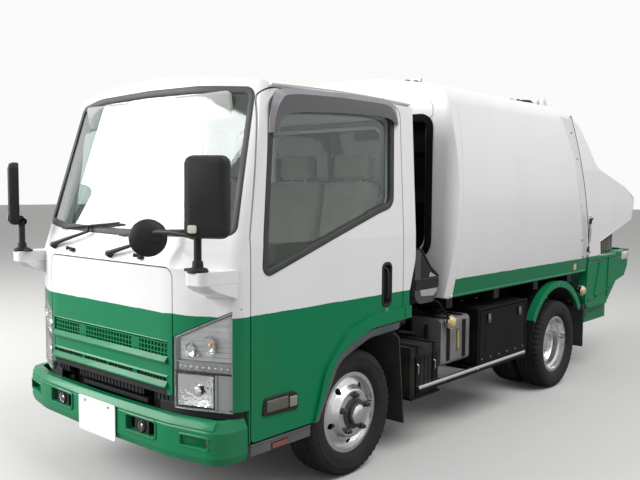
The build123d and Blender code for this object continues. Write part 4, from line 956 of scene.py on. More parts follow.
seals = Piece("window_seals", rubber_seal)
seal_rows = [(-22, -8), (-22, -3), (-12, 2.5), (4, 3.5), (11, 1.0), (11, -2), (0, -12)]
ring(seals, screen_outline, seal_rows, on_front)
rear_window = rounded([(-620, 1480, 60), (620, 1480, 60), (600, 1900, 60), (-600, 1900, 60)])
ring(seals, rear_window, [(-12, -20), (-12, 2), (6, 5), (14, 1), (14, -2)], on_back)
seals.mounted("cab", "dark_plastic", sharp=50)

# Washer nozzles below the screen.
cowl = Piece("cowl_details", dark_plastic)
for place in (-323, 289):
    x, y, z = on_front(place, 1208, 0)
    cowl.turned([(0, 0), (0, 21), (9, 19), (15, 12), (17, 0)], (x, y, z), 16, axis="Z")
    nozzle = [(x - 8, y + 2, z + 8), (x - 24, y - 8, z + 14), (x - 38, y - 14, z + 15)]
    cowl.pipe(nozzle, 8, 10, radii=[11, 8, 11])
cowl.mounted("cab", "dark_plastic")

# Rain gutters: folded strips that are welded along the cab's sides over its doors.
gutters = Piece("rain_gutters", cab_paint)
gutter_rows = [(-6, -3), (5, -4), (8, 3), (5, 5), (-10, 6)]
loops = []
for share in spread(0, 1, 24):
    x, y, z = on_side(-640 + 1110 * share, 2026 + 12 * sin(pi * share), 0)
    loops.append([(x + out, y, z + up) for out, up in gutter_rows])
gutters.skin(loops)
gutters.both_sides()
gutters.mounted("cab", "cab_paint", sharp=50)


# Headlamps: a moulded housing behind one clear cover. A clear upper field holds the amber turn lamp, and a
# dark band and a shelf with bright dots part it from the faceted lower reflector.
# Columns on the corner: distances along the plan line from its start; heights in millimetres
lamp_grey = finish_of("lamp_grey", (0.44, 0.44, 0.45), 0.35, 0.3, 90.0, 0.1, Metallic=0.5)
lamp_silver = Finish("lamp_silver", (0.66, 0.66, 0.68), 0.35, Metallic=0.6)
lamp_silver.bump((lamp_silver.place("Z") * 210.0).math("SINE"), 0.15, 0.003)
amber = finish_of("amber", (0.74, 0.42, 0.20), 0.15, 0.2, 120.0, 0.1)
lamp_start, lamp_end, lamp_low, lamp_high, recess_end = 4, 302, 538, 866, 322
band_low, shelf_low, shelf_high, wall = 708, 714, 754, 6


def lamp_top(distance):
    """The lamp's upper edge rises towards the corner."""
    if distance < recess_end:
        return lamp_high + 142 * min(1.0, distance / recess_end)
    return lamp_high + 142 - (distance - recess_end) * 0.4


def under_top(drop):
    """The lamp's upper edge, lowered."""
    return lambda distance: lamp_top(distance) - drop


def corner_band(piece, start, end, low, high, outer, inner, paint=0, steps=14):
    """A panel on the lamp's corner between two distances; its heights are numbers or functions."""
    loops = []
    for distance in spread(start, end, steps):
        bottom = low(distance) if callable(low) else low
        top = high(distance) if callable(high) else high
        loops.append([on_corner(distance, bottom, outer), on_corner(distance, top, outer),
                      on_corner(distance, top, inner), on_corner(distance, bottom, inner)])
    piece.skin(loops, paint=paint)


housing = Piece("headlamp_housings", lamp_grey, lamp_silver.material, dark_plastic)
# Columns: start, end, low edge, high edge, how proud outside and inside, colour, steps
housing_bands = [
    (lamp_start, lamp_end, lamp_low, lamp_top, -31, -34, 0, 24),
    (lamp_start, lamp_start + wall, lamp_low, lamp_top, -3, -32, 0, 2),
    (lamp_end - wall, lamp_end, lamp_low, lamp_top, -3, -32, 0, 2),
    (lamp_start, lamp_end, lamp_low, lamp_low + 8, -3, -32, 0, 24),
    (lamp_start, lamp_end, under_top(8), lamp_top, -3, -32, 0, 24),
    (lamp_start, lamp_end, band_low, shelf_low, -3, -31, 2, 24),
    (lamp_start, lamp_end, shelf_high, shelf_high + 6, -9, -31, 0, 24),
    (lamp_start + wall, lamp_end - wall, shelf_low, shelf_high, -20, -31, 0, 18),
    (214, 222, lamp_low + 8, band_low, -5, -31, 0, 3),
    (222, lamp_end - wall, lamp_low + 8, band_low, -14, -31, 0, 8),
    (12, lamp_end - 7, shelf_high + 10, under_top(10), -26, -31, 1, 18),
]
housing_bands += [(16, lamp_end - 7, z, z + 2.5, -22, -27, 0, 18) for z in (782, 806, 830, 854)]
for band in housing_bands:
    corner_band(housing, *band)
housing.both_sides()
housing.mounted("cab", "lamp_glass", bevel=1.2)

reflector = Piece("headlamp_reflectors", mirror_bowl.material, chrome.material, amber)
# A rectangular bowl of facets that step back towards its middle.
columns, levels = 12, 7
loops = []
for row in range(levels + 1):
    loop = []
    for column in range(columns + 1):
        across_share, up_share = column / columns, row / levels
        hollow = 25 * (1 - (2 * across_share - 1) ** 2) * (1 - 0.6 * (2 * up_share - 1) ** 2)
        ripple = 2.2 if (column + row) % 2 else 0
        loop.append(on_corner(24 + 182 * across_share, 556 + 143 * up_share, -4 - hollow - ripple))
    loops.append(loop)
reflector.skin(loops, closed_loop=False, capped=False)
bulb = [(0, 22), (-8, 22), (-13, 16), (-15, 0)]
bright_dot = [(3, 8.5), (-1, 8), (-4, 5), (-5, 0)]
amber_bulb = [(12, 0), (10, 8), (0, 9.5), (-7, 8), (-10, 0)]
side_bulb = [(8, 7), (-6, 7), (-9, 4), (-10, 0)]
clear_bowl, amber_bowl = [[(14, 0), (13, radius * 0.45), (8, radius * 0.8), (-2, radius)]
                          for radius in (34, 44)]
# Columns: outline, distance, height, how proud, sides, colour
lamp_parts = [
    (bulb, 114, 622, -24, 24, 1), (clear_bowl, 84, 812, -12, 28, 0), (amber_bowl, 182, 838, -12, 28, 0),
    (amber_bulb, 188, 842, -8, 20, 2), (side_bulb, 124, 790, -14, 14, 1),
]
lamp_parts += [(bright_dot, distance, 734, -17, 14, 1) for distance in spread(26, 266, 8)]
for rows, distance, height, proud, sides, paint in lamp_parts:
    reflector.turned(rows, on_corner(distance, height, proud), sides, axis="Y", paint=paint)
reflector.both_sides()
reflector.mounted("cab", "lamp_glass", sharp=25)

covers = Piece("headlamp_covers", lamp_glass.material)
corner_band(covers, lamp_start + 2, lamp_end - 2, lamp_low + 2, under_top(2), -0.5, -3.0, steps=40)
covers.both_sides()
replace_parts(covers.mounted("cab", "lamp_glass", sharp=50), "headlamps")


def surround_top(distance):
    """The corner panel's upper edge stays a little over the lamp's recess."""
    return max(lamp_top(distance), 996) + 4


# Painted corner panels close the rest of each recess, between the lamp and the corner's skin.
surrounds = Piece("lamp_surrounds", cab_paint)
corner_band(surrounds, lamp_end + 1, 373, lamp_low + 8, surround_top, 0.8, -28, steps=8)
surrounds.both_sides()
surrounds.mounted("cab", "cab_paint", bevel=1.5, sharp=50)


# The mirror shelves' fairings: welded brackets that swell from the cab's corners, in the cab's white.
# Their outlines are drawn in to the corner from the shelf downwards.
fairings = Piece("mirror_shelf_fairings", cab_paint)
corner_foot = [(705, -941), (842, -875)]
shelf_edge = [(842, -1040), (818, -1074), (745, -1086), (712, -1060)]
loops = []
# Columns: height, share of the way that the shelf's edge is drawn in
for z, pull in ((1132, 0.0), (1118, 0.06), (1100, 0.24), (1082, 0.55), (1068, 0.82), (1056, 0.97)):
    loop = [(x, y, z) for x, y in corner_foot]
    for x, y in shelf_edge:
        root = -875 - (842 - x) * 0.48
        loop.append((x, y + (root - y) * pull, z))
    loops.append(loop)
fairings.skin(loops)
fairings.both_sides()
fairings.mounted("cab", "cab_paint", bevel=8, sharp=100, steps=3)


# Mirrors: tall moulded heads on stays from the corner shelves, glass to the rear, and a round convex one over
# the front left corner. The stays' feet stand in rubber boots.
glass_face = Finish("mirror_glass", (0.55, 0.57, 0.58), 0.04, Metallic=1.0).material
pale_reflector = finish_of("pale_reflector", (0.62, 0.56, 0.46), 0.25, 0.5, 60.0, 0.3)
mirrors = Piece("mirror_heads", dark_plastic, glass_face, pale_reflector)
head_outline = rounded_box(-100, 100, -175, 175, 38, steps=8)
patch_outline = rounded_box(-72, -32, -152, -118, 8, steps=5)
shell_rows = [(-34, -46), (-8, -38), (0, -20), (0, 4), (-4, 10), (-9, 12)]
head = sheet(mirrors, head_outline, shell_rows, facing_ahead)
head += mirrors.skin([[(x, y, z) for x, z in grown(head_outline, out)] for out, y in ((-9, 10), (-13, 9.5))],
                     capped=False)
head += sheet(mirrors, head_outline, [(-13, 9), (-13, 12.5)], facing_ahead, paint=1)
head += sheet(mirrors, patch_outline, [(5, -36), (5, -45), (2, -48)], facing_ahead)
head += sheet(mirrors, patch_outline, [(0, -46), (0, -51), (-3, -52)], facing_ahead, paint=2)
mirrors.move(head, Matrix.Translation((838, -1040, 1508)) @ Matrix.Rotation(radians(27), 4, "Z"))
stay_x, stay_y = 775, -1046
mirrors.pipe([(stay_x, stay_y, 1187), (stay_x, stay_y, 1345), (786, -1045, 1368), (838, -1041, 1372)], 17, 16)
boot = [(1184, 46), (1196, 46), (1202, 40), (1206, 25), (1232, 23), (1236, 17)]
mirrors.turned(boot, (stay_x, stay_y, 0), 28, axis="Z")
mirrors.box((700, 748), (-1062, -1022), (1186, 1198))
mirrors.turned([(-22, 20), (22, 20)], (stay_x, stay_y, 1352), 16)
mirrors.both_sides()
arm = [(stay_x, stay_y, 1330), (720, -1062, 1343), (640, -1085, 1352), (545, -1080, 1350), (500, -1068, 1345)]
mirrors.pipe(arm, 11, 12)
mirrors.turned([(1300, 16), (1360, 16), (1361, 0)], (stay_x, stay_y, 0), 16, axis="Z")
dish = mirrors.turned([(-17, 0), (-17, 78), (-10, 86), (4, 87), (12, 80), (24, 46), (27, 20), (28, 0)],
                      (0, 0, 0), 40, axis="Z")
dish += mirrors.box((-10, 62), (-17, 17), (8, 30))
dish += mirrors.turned([(-17.5, 79), (-20, 60), (-23, 30), (-24, 0)], (0, 0, 0), 40, axis="Z", paint=1)
facing = Vector((0.81, -0.58, 0.07)).to_track_quat("Z", "Y").to_matrix().to_4x4()
mirrors.move(dish, Matrix.Translation((448, -1066, 1318)) @ facing)
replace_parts(mirrors.mounted("cab", "dark_plastic", bevel=1.5, sharp=45), "mirrors")


# Wipers: two arms on spindles below the screen, swept to the same side, with sprung blades.
# Each blade's spine bows over its rubber, joined to it by claws.
wipers = Piece("wiper_arms", dark_plastic, rubber_seal)
for place, height in ((-519, 1226), (36, 1212)):
    x, y, z = on_front(place, height, 0)
    wipers.pipe([(x, y + 8, z - 6), (x, y - 14, z + 4), (x, y - 30, z + 10)], 15, 14, radii=[19, 17, 14])
    tip = on_front(place + 300, height + 90, 24)
    elbow = on_front(place + 120, height + 40, 34)
    wipers.pipe([(x, y - 22, z + 8), elbow, tip], 9, 10, radii=[13, 10, 7])
    spine, edge = [], []
    for number in range(11):
        across, up = place + 20 + 52 * number, height + 96 + 4.6 * number
        spine.append(on_front(across, up, 12 + 5 * sin(pi * number / 10)))
        edge.append(on_front(across, up + 1, 5))
    wipers.pipe(spine, 5, 8)
    wipers.pipe(edge, 4.5, 6, paint=1)
    for number in (1, 3, 5, 7, 9):
        wipers.pipe([spine[number], edge[number]], 4, 6)
    wipers.pipe([tip, spine[5]], 8, 8)
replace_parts(wipers.mounted("cab", "dark_plastic", sharp=45), "wipers")


# Front hatch and grille: the lower front panel with its moulded grille, both green below the line.
# Behind the slots a near-black sheet is painted shade, and a black moulded lip closes the gap above the
# bumper.
def front_bar(piece, start, end, rows, steps, paint=0):
    """A bar along the cab's front between two places across: rows of (height, how proud)."""
    piece.skin([[on_front(x, z, proud) for z, proud in rows] for x in spread(start, end, steps)], paint=paint)


dress(green_paint, "grille")
# A near-black finish for painted shade in the grille's slots and under its sill.
shade_near_black = finish_of("shade_near_black", (0.006, 0.006, 0.006), 0.8, 0.3)
grille = Piece("grille_details", green_paint, shade_near_black, dark_plastic)
# Columns: low edge, high edge, how proud, thickness, colour. They are the near-black sheet in the slot and
# the near-black strip under the sill, both painted shade, and the bars across the upper slots.
bars = [(644, 672, -22, 2.5, 1), (590, 621, 0.6, 4, 1)]
bars += [(low, low + 5, -5, 4, 0) for low in (780, 803, 826)]
for low, high, proud, thick, paint in bars:
    rows = [(low, proud), (high, proud), (high, proud - thick), (low, proud - thick)]
    front_bar(grille, -500, 500, rows, 32, paint)
for number in range(-19, 20):
    place = 25 * number
    if abs(abs(place) - 232) > 26 and abs(place) > 14:
        plan = [(place - 2.5, -17), (place + 2.5, -17), (place + 2.5, -23), (place - 2.5, -23)]
        grille.skin([[on_front(x, z, proud) for x, proud in plan] for z in (646, 672)])
# Rolled edges of the main bar, the lower sill and the panel above them.
for height, depth, proud in ((753, 34, 17), (676, 12, 3), (636, 34, 17), (842, 8, 1)):
    rows = [(-1 / 2, -1), (-1 / 3, proud), (-1 / 8, proud + 1), (1 / 2, -1), (1 / 3, -8), (-1 / 3, -8)]
    front_bar(grille, -504, 504, [(height + depth * share, out) for share, out in rows], 40)
grille.mounted("front_hatch", "green_paint", sharp=40)

valance = Piece("lower_valance", dark_plastic, shade_near_black, black_steel)
# The corner fillers close the gap between the lamps and the bumper.
filler_rows = [(502, -16), (558, -16), (558, -22), (502, -22)]
valance.skin([[on_corner(distance, z, proud) for z, proud in filler_rows]
              for distance in spread(-100, 400, 14)])
valance.both_sides()
# The valance is parted at the frame rails, whose front ends it passes when the cab tilts.
for across in ((-520, -388), (-288, 288), (388, 520)):
    valance.box(across, (-985, -960), (548, 586))
    valance.box(across, (-962, -930), (500, 520))
# Near-black strips across the lip, in the same finish.
for number in range(-16, 17):
    if not 9.5 < abs(number) < 12.9:
        valance.box((30 * number - 3, 30 * number + 3), (-990, -984), (548, 586), paint=1)
valance.mounted("cab", "dark_plastic", bevel=2)


# Doors: pressed steel with a fixed seal round the glass, a smoked rain visor over it, a pull handle in a
# moulded recess, a side marker low down ahead of the wheel, and a lining with an armrest inside.
window_glass = Finish("window_glass", (0.74, 0.83, 0.80), 0.015, Transmission_Weight=1.0, IOR=1.5)
dress(window_glass.material, "left_door_glass", "right_door_glass", "cab_windows")
smoked = Finish("smoked_plastic", (0.060, 0.055, 0.060), 0.12, Alpha=0.82, Coat_Weight=1.0)
smoked_cloud = smoked.ramp(smoked.noise(6.0, 3.0), (0.3, 0.0), (0.8, 1.0))
smoked.set("Roughness", 0.10 + 0.15 * smoked_cloud)
# The visor's flange is a paler grey than the smoked plastic: a painted reflection on its upper band.
visor_painted_sheen = finish_of("visor_painted_sheen", (0.20, 0.19, 0.215), 0.3, 0.5, 300.0, 0.05, (0.30, 0.29, 0.32))
clear_lens = finish_of("clear_lens", (0.10, 0.09, 0.07), 0.15, 0.3, 90.0, 0.3, Coat_Weight=0.5)
pale_lens = finish_of("pale_lens", (0.24, 0.24, 0.21), 0.15, 0.3, 90.0, 0.3, Coat_Weight=0.5)
lining = finish_of("door_lining", (0.22, 0.205, 0.185), 0.75, 0.3, 500.0, 0.3)
window_outline = rounded([
    (-716, 1150, 30), (-706, 1320, 400), (-632, 1968, 45), (300, 1958, 60), (270, 1462, 60), (150, 1432, 200),
], 8)
marker_outline = rounded([
    (-738, 498, 16), (-494, 486, 16), (-498, 562, 26), (-534, 580, 20), (-720, 580, 16),
])
lining_outline = rounded([
    (-770, 560, 30), (-330, 560, 60), (-60, 860, 200), (340, 900, 40), (335, 1400, 60), (150, 1405, 100),
    (-690, 1120, 40),
])
armrest_outline = rounded([(-250, 1010, 20), (180, 1060, 20), (180, 1110, 24), (-250, 1060, 24)])


def smooth_line(points, between=5):
    """More points along a line, on a smooth curve through the given ones."""
    line = []
    for number in range(len(points) - 1):
        first, second = Vector(points[number]), Vector(points[number + 1])
        before = Vector(points[max(number - 1, 0)])
        after = Vector(points[min(number + 2, len(points) - 1)])
        pull, push = (second - before) * 0.5, (after - first) * 0.5
        for share in spread(0, 1, between)[:-1]:
            square, cube = share ** 2, share ** 3
            line.append(first * (2 * cube - 3 * square + 1) + pull * (cube - 2 * square + share)
                        + second * (3 * square - 2 * cube) + push * (cube - square))
    return line + [Vector(points[-1])]


def door_trim(door):
    """The seal, handle, lock, side marker and lining of a door, drawn for the left side."""
    trim = Piece(door + "_trim", rubber_seal, dark_plastic, grey_plastic, clear_lens, pale_lens, bolt_steel)
    seal = [(-16, -20), (-16, 0), (-10, 3.5), (6, 5.5), (14, 4.5), (18, -1), (0, -16)]
    ring(trim, window_outline, seal, on_side)
    # The handle's recess, its bar and the lock.
    pocket = rounded_box(190, 253, 914, 1131, 20)
    ring(trim, pocket, [(-2, -22), (-2, 1), (0, 4), (12, 4), (17, -0.5)], on_side, paint=1)
    sheet(trim, pocket, [(-1, -25), (-1, -22)], on_side, paint=1)
    bar = [(930, -16), (950, 2), (985, 7), (1065, 7), (1098, 2), (1116, -16)]
    trim.pipe([on_side(222, z, proud) for z, proud in bar], 11, 12, paint=1)
    face = on_side(222, 880, 0)[0]
    lock = [(face - 2, 0), (face - 2, 15), (face + 2, 14), (face + 3, 9), (face + 3, 0)]
    trim.turned(lock, (0, 222, 880), 24, paint=5)
    # The side marker: a black frame, a dark clear lens and a pale reflector behind a divider.
    sheet(trim, marker_outline, [(0, -1), (0, 6), (-3, 9), (-9, 9)], on_side, paint=1)
    for front, back, low, high, paint in ((-709, -570, 512, 566, 3), (-557, -507, 508, 556, 4)):
        lens = rounded([(front, low, 6), (back, low - 2, 6), (back, high, 6), (front, high, 6)])
        sheet(trim, lens, [(1, 7), (1, 10), (-1, 12.5), (-5, 13.5)], on_side, paint=paint)
    # The lining inside, with an armrest, a pull handle and a speaker grille.
    sheet(trim, lining_outline, [(-4, 745), (-6, 738), (-14, 735)], facing_side, paint=2)
    sheet(trim, armrest_outline, [(0, 736), (0, 700), (-8, 690)], facing_side, paint=2)
    trim.pipe([(735, -420, 1010), (712, -420, 1010), (706, -420, 1000), (702, -380, 960)], 9, 10, paint=1)
    trim.turned([(737, 78), (728, 76), (726, 66), (728, 0)], (0, -560, 760), 32, paint=1)
    return trim


visor_outer = [(-668, 1800), (-657, 1880), (-634, 1960), (-565, 2012), (-214, 2030), (60, 2032), (246, 2030),
               (326, 1996), (350, 1905)]
visor_crease = [(-650, 1802), (-634, 1880), (-596, 1950), (-520, 1988), (-214, 2004), (60, 2006), (230, 2002),
                (296, 1970), (324, 1905)]
visor_lower = [(-616, 1806), (-604, 1850), (-560, 1886), (-479, 1906), (-214, 1926), (60, 1936), (200, 1935),
               (262, 1924), (296, 1903)]


def door_visor(door):
    """The rain visor over a door's glass: a flange, a crease and a smoked shade; the flange's paler grey is a
    painted reflection.
    """
    visor = Piece(door + "_visor", smoked.material, visor_painted_sheen)
    flange, shade = [], []
    lines = [smooth_line(points) for points in (visor_outer, visor_crease, visor_lower)]
    for outer, crease, lower in zip(*lines):
        middle, bend = crease.lerp(lower, 0.5), outer.lerp(crease, 0.6)
        above = [(outer, 1.5), (outer, 6), (bend, 17), (crease, 23), (crease, 20.5), (bend, 14.5)]
        below = [(crease, 23), (middle, 25), (lower, 22), (lower, 19.5), (middle, 22.5), (crease, 20.5)]
        flange.append([on_side(*spot, proud) for spot, proud in above])
        shade.append([on_side(*spot, proud) for spot, proud in below])
    visor.skin(shade)
    visor.skin(flange, paint=1)
    return visor


for door in ("left_door", "right_door"):
    for make, slot, sharp in ((door_trim, "dark_plastic", 40), (door_visor, "trim_plastic", 45)):
        piece = make(door)
        if door == "right_door":
            piece.mirror()
        piece.mounted(door, slot, sharp=sharp)


# Wheel arch lips: grey moulded strips under the arches' edges, fixed to the cab, and the steps below the
# doors, black with a ribbed tread and a red reflector.
arch_corners = [(-383, 392, 0), (-383, 400, 60), (-205, 705, 220), (70, 800, 320), (330, 813, 0)]
arch_curve = [Vector(point) for point in rounded(arch_corners, 12)[1:-1]] + [Vector((345, 813.5))]
red_reflector = finish_of("red_reflector", (0.22, 0.060, 0.035), 0.2, 0.3, 60.0, 0.3, Coat_Weight=0.8)
arches = Piece("wheel_arch_lips", lip_grey, dark_plastic, red_reflector, black_steel)
arches.box((650, 830), (-774, -766), (376, 380))
repeat(arches, 9, (0, 42, 0), paint=1)
# Columns: how deep inside the arch, x
lip_rows = [(7, 800), (7, 838), (12, 846), (20, 848), (48, 845), (58, 838), (58, 800)]
loops = []
for number, point in enumerate(arch_curve):
    way = arch_curve[min(number + 1, len(arch_curve) - 1)] - arch_curve[max(number - 1, 0)]
    way.normalize()
    loops.append([(x, point.x + way.y * deep, point.y - way.x * deep) for deep, x in lip_rows])
arches.skin(loops)
arches.box((836, 841), (-664, -552), (322, 356), paint=1)
arches.box((840, 843.5), (-659, -557), (327, 351), paint=2)
arches.box((834, 842), (-797, -391), (368, 379))
arches.both_sides()
arches.mounted("cab", "dark_plastic", bevel=1.2, sharp=40)


# Inside the cab: a moulded dashboard with a hood over the dials, vents, a radio, glove box, levers, roof
# lining, sun visors, a mirror and the rear wall's trim.
dash_grey = finish_of("dash_grey", (0.19, 0.185, 0.175), 0.7, 0.3, 600.0, 0.4)
lining_pale = finish_of("roof_lining", (0.42, 0.42, 0.40), 0.9, 0.3, 500.0, 0.4)
dress(dash_grey, "dashboard")
inside = Piece("dashboard_parts", dash_grey, dark_plastic, bolt_steel, clear_lens)
inside.along(rounded([(-570, 1284, 6), (-175, 1284, 6), (-190, 1368, 50), (-555, 1368, 50)]), -700, -560)
dial_panel = rounded([(-545, 1284, 6), (-200, 1284, 6), (-212, 1350, 40), (-533, 1350, 40)])
inside.along(dial_panel, -566, -552, paint=1)
for place, radius in ((-455, 42), (-340, 42), (-260, 24)):
    dial = [(-552, radius), (-546, radius), (-545, radius - 4), (-550, radius - 5), (-550, 0)]
    inside.turned(dial, (place, 0, 1312), 28, axis="Y", paint=2)
for place in (-690, -60, 60, 690):
    inside.box((place - 48, place + 48), (-564, -552), (1228, 1276), paint=1)
    for height in spread(1232, 1265, 3):
        inside.box((place - 44, place + 44), (-556, -549), (height, height + 4))
inside.box((-95, 95), (-566, -548), (1150, 1212), paint=1)
for place in (-72, 72):
    inside.turned([(-548, 11), (-538, 10), (-537, 0)], (place, 0, 1180), 18, axis="Y", paint=2)
inside.box((260, 650), (-567, -554), (1140, 1215))
inside.pipe([(-130, -430, 935), (-120, -400, 1130), (-110, -360, 1210)], 9, 12, paint=1)
lever_knob = [(-26, 0), (-24, 14), (-10, 24), (8, 24), (20, 14), (22, 0)]
inside.turned(lever_knob, (-108, -356, 1225), 20, axis="Z", paint=1)
inside.pipe([(-400, -520, 1300), (-560, -500, 1340)], 6, 8, paint=1)
inside.pipe([(-340, -520, 1300), (-180, -500, 1340)], 6, 8, paint=1)
for place in (-500, -400, -300):
    inside.pipe([(place, -760, 900), (place, -700, 720)], 7, 8, paint=1)
    inside.box((place - 32, place + 32), (-716, -700), (668, 728), paint=1)
inside.mounted("cab", "trim_plastic", bevel=2.5, sharp=40)


def on_lining(x, z, proud):
    """A place on the lining of the cab's rear wall."""
    return x, 455 - proud, z


trims = Piece("cab_lining", lining_pale, lining, dark_plastic, glass_face)
roof_rows = [(-735, 1965), (-560, 2030), (0, 2062), (560, 2030), (735, 1965),
             (735, 1958), (555, 2022), (0, 2054), (-555, 2022), (-735, 1958)]
trims.along(roof_rows, -600, 455)
hole_rows = rounded([(-640, 1462, 60), (640, 1462, 60), (618, 1918, 60), (-618, 1918, 60)])
ring(trims, hole_rows, [(0, 4), (0, 12), (26, 12), (34, 4)], on_lining, paint=1)
trims.box((-745, 745), (448, 455), (952, 1450), paint=1)
for left in (-590, 210):
    sun_visor = rounded_box(left, left + 420, 1878, 2000, 30, 24)
    sheet(trims, sun_visor, [(-6, 0), (0, 3), (0, 15), (-6, 19)],
          lambda x, z, y: (x, -742 + (2000 - z) * 0.2 + y, z))
trims.pipe([(0, -718, 1968), (0, -690, 1930)], 7, 8, paint=2)
rear_view = rounded_box(-115, 115, 1886, 1944, 22)
sheet(trims, rear_view, [(-10, -706), (0, -702), (0, -688)], facing_ahead, paint=2)
sheet(trims, rear_view, [(-3, -688), (-3, -685)], facing_ahead, paint=3)
trims.box((-700, 700), (-395, -385), (605, 940), paint=2)
trims.mounted("cab", "trim_plastic", bevel=1.5, sharp=40)


# Seats: foam under dark cloth, for the driver and two beside; the sewn channels pull the covers in.
# Each cushion is a crowned closed form, drawn as sections across the seat.
seat_cloth = Finish("seat_cloth", (0.16, 0.14, 0.115), 0.95, Sheen_Weight=0.3)
weave = seat_cloth.node("ShaderNodeTexChecker", {}, Vector=seat_cloth.place(), Scale=520.0, output="Fac")
fade = seat_cloth.ramp(seat_cloth.noise(9.0, 5.0), (0.35, 0.0), (0.8, 1.0))
seat_cloth.set("Base Color", seat_cloth.blend(fade * 0.5, (0.16, 0.14, 0.115), (0.26, 0.235, 0.20)))
seat_cloth.bump(weave, 0.3, 0.0006)
rolled_end, channel_half = 34, 9


def cushion(name, rows, middle, half, channels, crown):
    """A padded piece: a side outline that pulls in at its ends and along its sewn channels."""
    outline = rounded(rows, 7)
    pad = Piece(name, seat_cloth.material)
    loops = []
    for angle in spread(0, pi, 44):
        share = -cos(angle)
        x = share * half
        edge = max(0.0, abs(x) - (half - rolled_end)) / rolled_end
        inset = 30 * (1 - (max(0.0, 1 - edge ** 2)) ** 0.5)
        dip = sum(7 * max(0.0, 1 - abs(x - channel) / channel_half) for channel in channels)
        swell = crown * (1 - share ** 2) - inset - dip
        loops.append([(middle + x, y, z) for y, z in grown(outline, swell - crown)])
    pad.skin(loops)
    made = pad.mounted("cab", "seat_cloth", sharp=60)
    return made


# Columns: middle across the cab, width
seat_places = [(-395, 500), (130, 480), (560, 330)]
base = [(-330, 951, 10), (-350, 1080, 48), (100, 1070, 40), (150, 1040, 30), (150, 951, 20)]
back = [(156, 951, 20), (104, 1080, 30), (190, 1588, 48), (328, 1588, 48), (262, 951, 20)]
head = [(222, 1600, 28), (236, 1748, 30), (318, 1748, 30), (322, 1600, 26)]
seat_pieces = []
for number, (middle, width) in enumerate(seat_places):
    half = width / 2
    channels = (-0.45 * half, 0.45 * half)
    seat_pieces += [
        cushion(f"seat_cushion_{number}", base, middle, half, channels, 8),
        cushion(f"seat_back_{number}", back, middle, half, channels, 8),
        cushion(f"headrest_{number}", head, middle, 130, (), 6),
    ]
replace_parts(seat_pieces[0], "seats")
posts = Piece("headrest_posts", bolt_steel, dark_plastic)
for middle, width in seat_places:
    for x in (middle - 55, middle + 55):
        posts.pipe([(x, 270, 1580), (x, 272, 1606)], 6, 10)
    posts.turned([(-26, 22), (-20, 28), (20, 28), (26, 22)], (middle + width / 2 - 28, 130, 985), 20, paint=1)
posts.mounted("cab", "dark_plastic", bevel=1)


# Packer body: a barrel of thin sheet on a stiff front frame, white above the green line, with black cross
# members and sills below it. Seam beads, a bolted band and stiffening plates show on its sides.
body_paint = panel_paint("body_paint", 0.992, under=0.872, behind=-0.578)
dress(body_paint, "body_shell")
white_paint = panel_paint("white_paint", None)
dress(white_paint, "ejector_plate")
# The barrel's half widths at its sill, middle and shoulder: ahead, at the tailgate and where the taper aims.
barrel_low, barrel_middle, barrel_shoulder = 882, 1520, 2170
half_widths, tail_widths, aimed_widths = (835, 904, 826), (830, 854, 776), (842, 945, 846)
taper, taper_start = 440, 430


def arc_through(first, second, third):
    """Centre and radius of the circle through three points."""
    (a, b), (c, d), (e, f) = first, second, third
    twice = 2 * (a * (d - f) + c * (f - b) + e * (b - d))
    x = ((a * a + b * b) * (d - f) + (c * c + d * d) * (f - b) + (e * e + f * f) * (b - d)) / twice
    y = ((a * a + b * b) * (e - c) + (c * c + d * d) * (a - e) + (e * e + f * f) * (c - a)) / twice
    return x, y, hypot(a - x, b - y)


def barrel_x(z, widths):
    """The barrel's half width at a height, below its rounded shoulders."""
    x, y, radius = arc_through(*zip(widths, (barrel_low, barrel_middle, barrel_shoulder)))
    return x + (radius ** 2 - (z - y) ** 2) ** 0.5


def split_y(z):
    """Where the joint between body and tailgate lies at a height."""
    return 3034 - (z - 989) / 1200 * 308


def body_x(y, z):
    """The body's half width at a place: it narrows over the last 400 mm before the tailgate."""
    ahead = (split_y(z) - y) * 0.9685
    plain = barrel_x(z, half_widths)
    if ahead > taper_start:
        return plain
    tail = barrel_x(z, tail_widths)
    beyond = barrel_x(z, aimed_widths)
    return min(plain, tail + (beyond - tail) * max(0.0, ahead + 20) / taper)


def roof_z(x):
    """The barrel's roof at a place across."""
    shoulder = half_widths[2]
    z, radius = arc_through((shoulder, barrel_shoulder), (0, 2268), (-shoulder, barrel_shoulder))[1:]
    return z + (radius ** 2 - x * x) ** 0.5


def bead(piece, line, rows, half_width, paint=0):
    """A strip along a line of (y, z) on the left side: rows of (how proud, how far to the rear)."""
    loops = [[(half_width(y, z) + proud, y + behind, z) for proud, behind in rows] for y, z in line]
    piece.skin(loops, paint=paint)


seam_grey = finish_of("seam_grey", (0.40, 0.41, 0.40), 0.5, 0.5, 200.0, 0.15, (0.24, 0.22, 0.20))
# A near-black finish: dark rubber in the joint and round the opening, and painted shade inside the body's
# front opening.
dark_gap_and_shade = finish_of("dark_gap_and_shade", (0.004, 0.004, 0.005), 0.8, 0.3, Specular_IOR_Level=0.08)
body = Piece("body_seams", body_paint, seam_grey, dark_gap_and_shade, bolt_steel)
# The seam where the front frame's corner meets the side sheet.
bead(body, [(921, z) for z in spread(890, 2060, 32)], [(-1, -4), (1.8, -2), (1.8, 2), (-1, 4)], body_x)
# A rolled edge along the foot of the side sheet. Columns: how proud, height
foot_rows = [(-14, 878), (1, 876), (5, 884), (1, 894), (-14, 892)]
body.skin([[(body_x(y, 884) + proud, y, z) for proud, z in foot_rows] for y in spread(900, 3020, 44)])
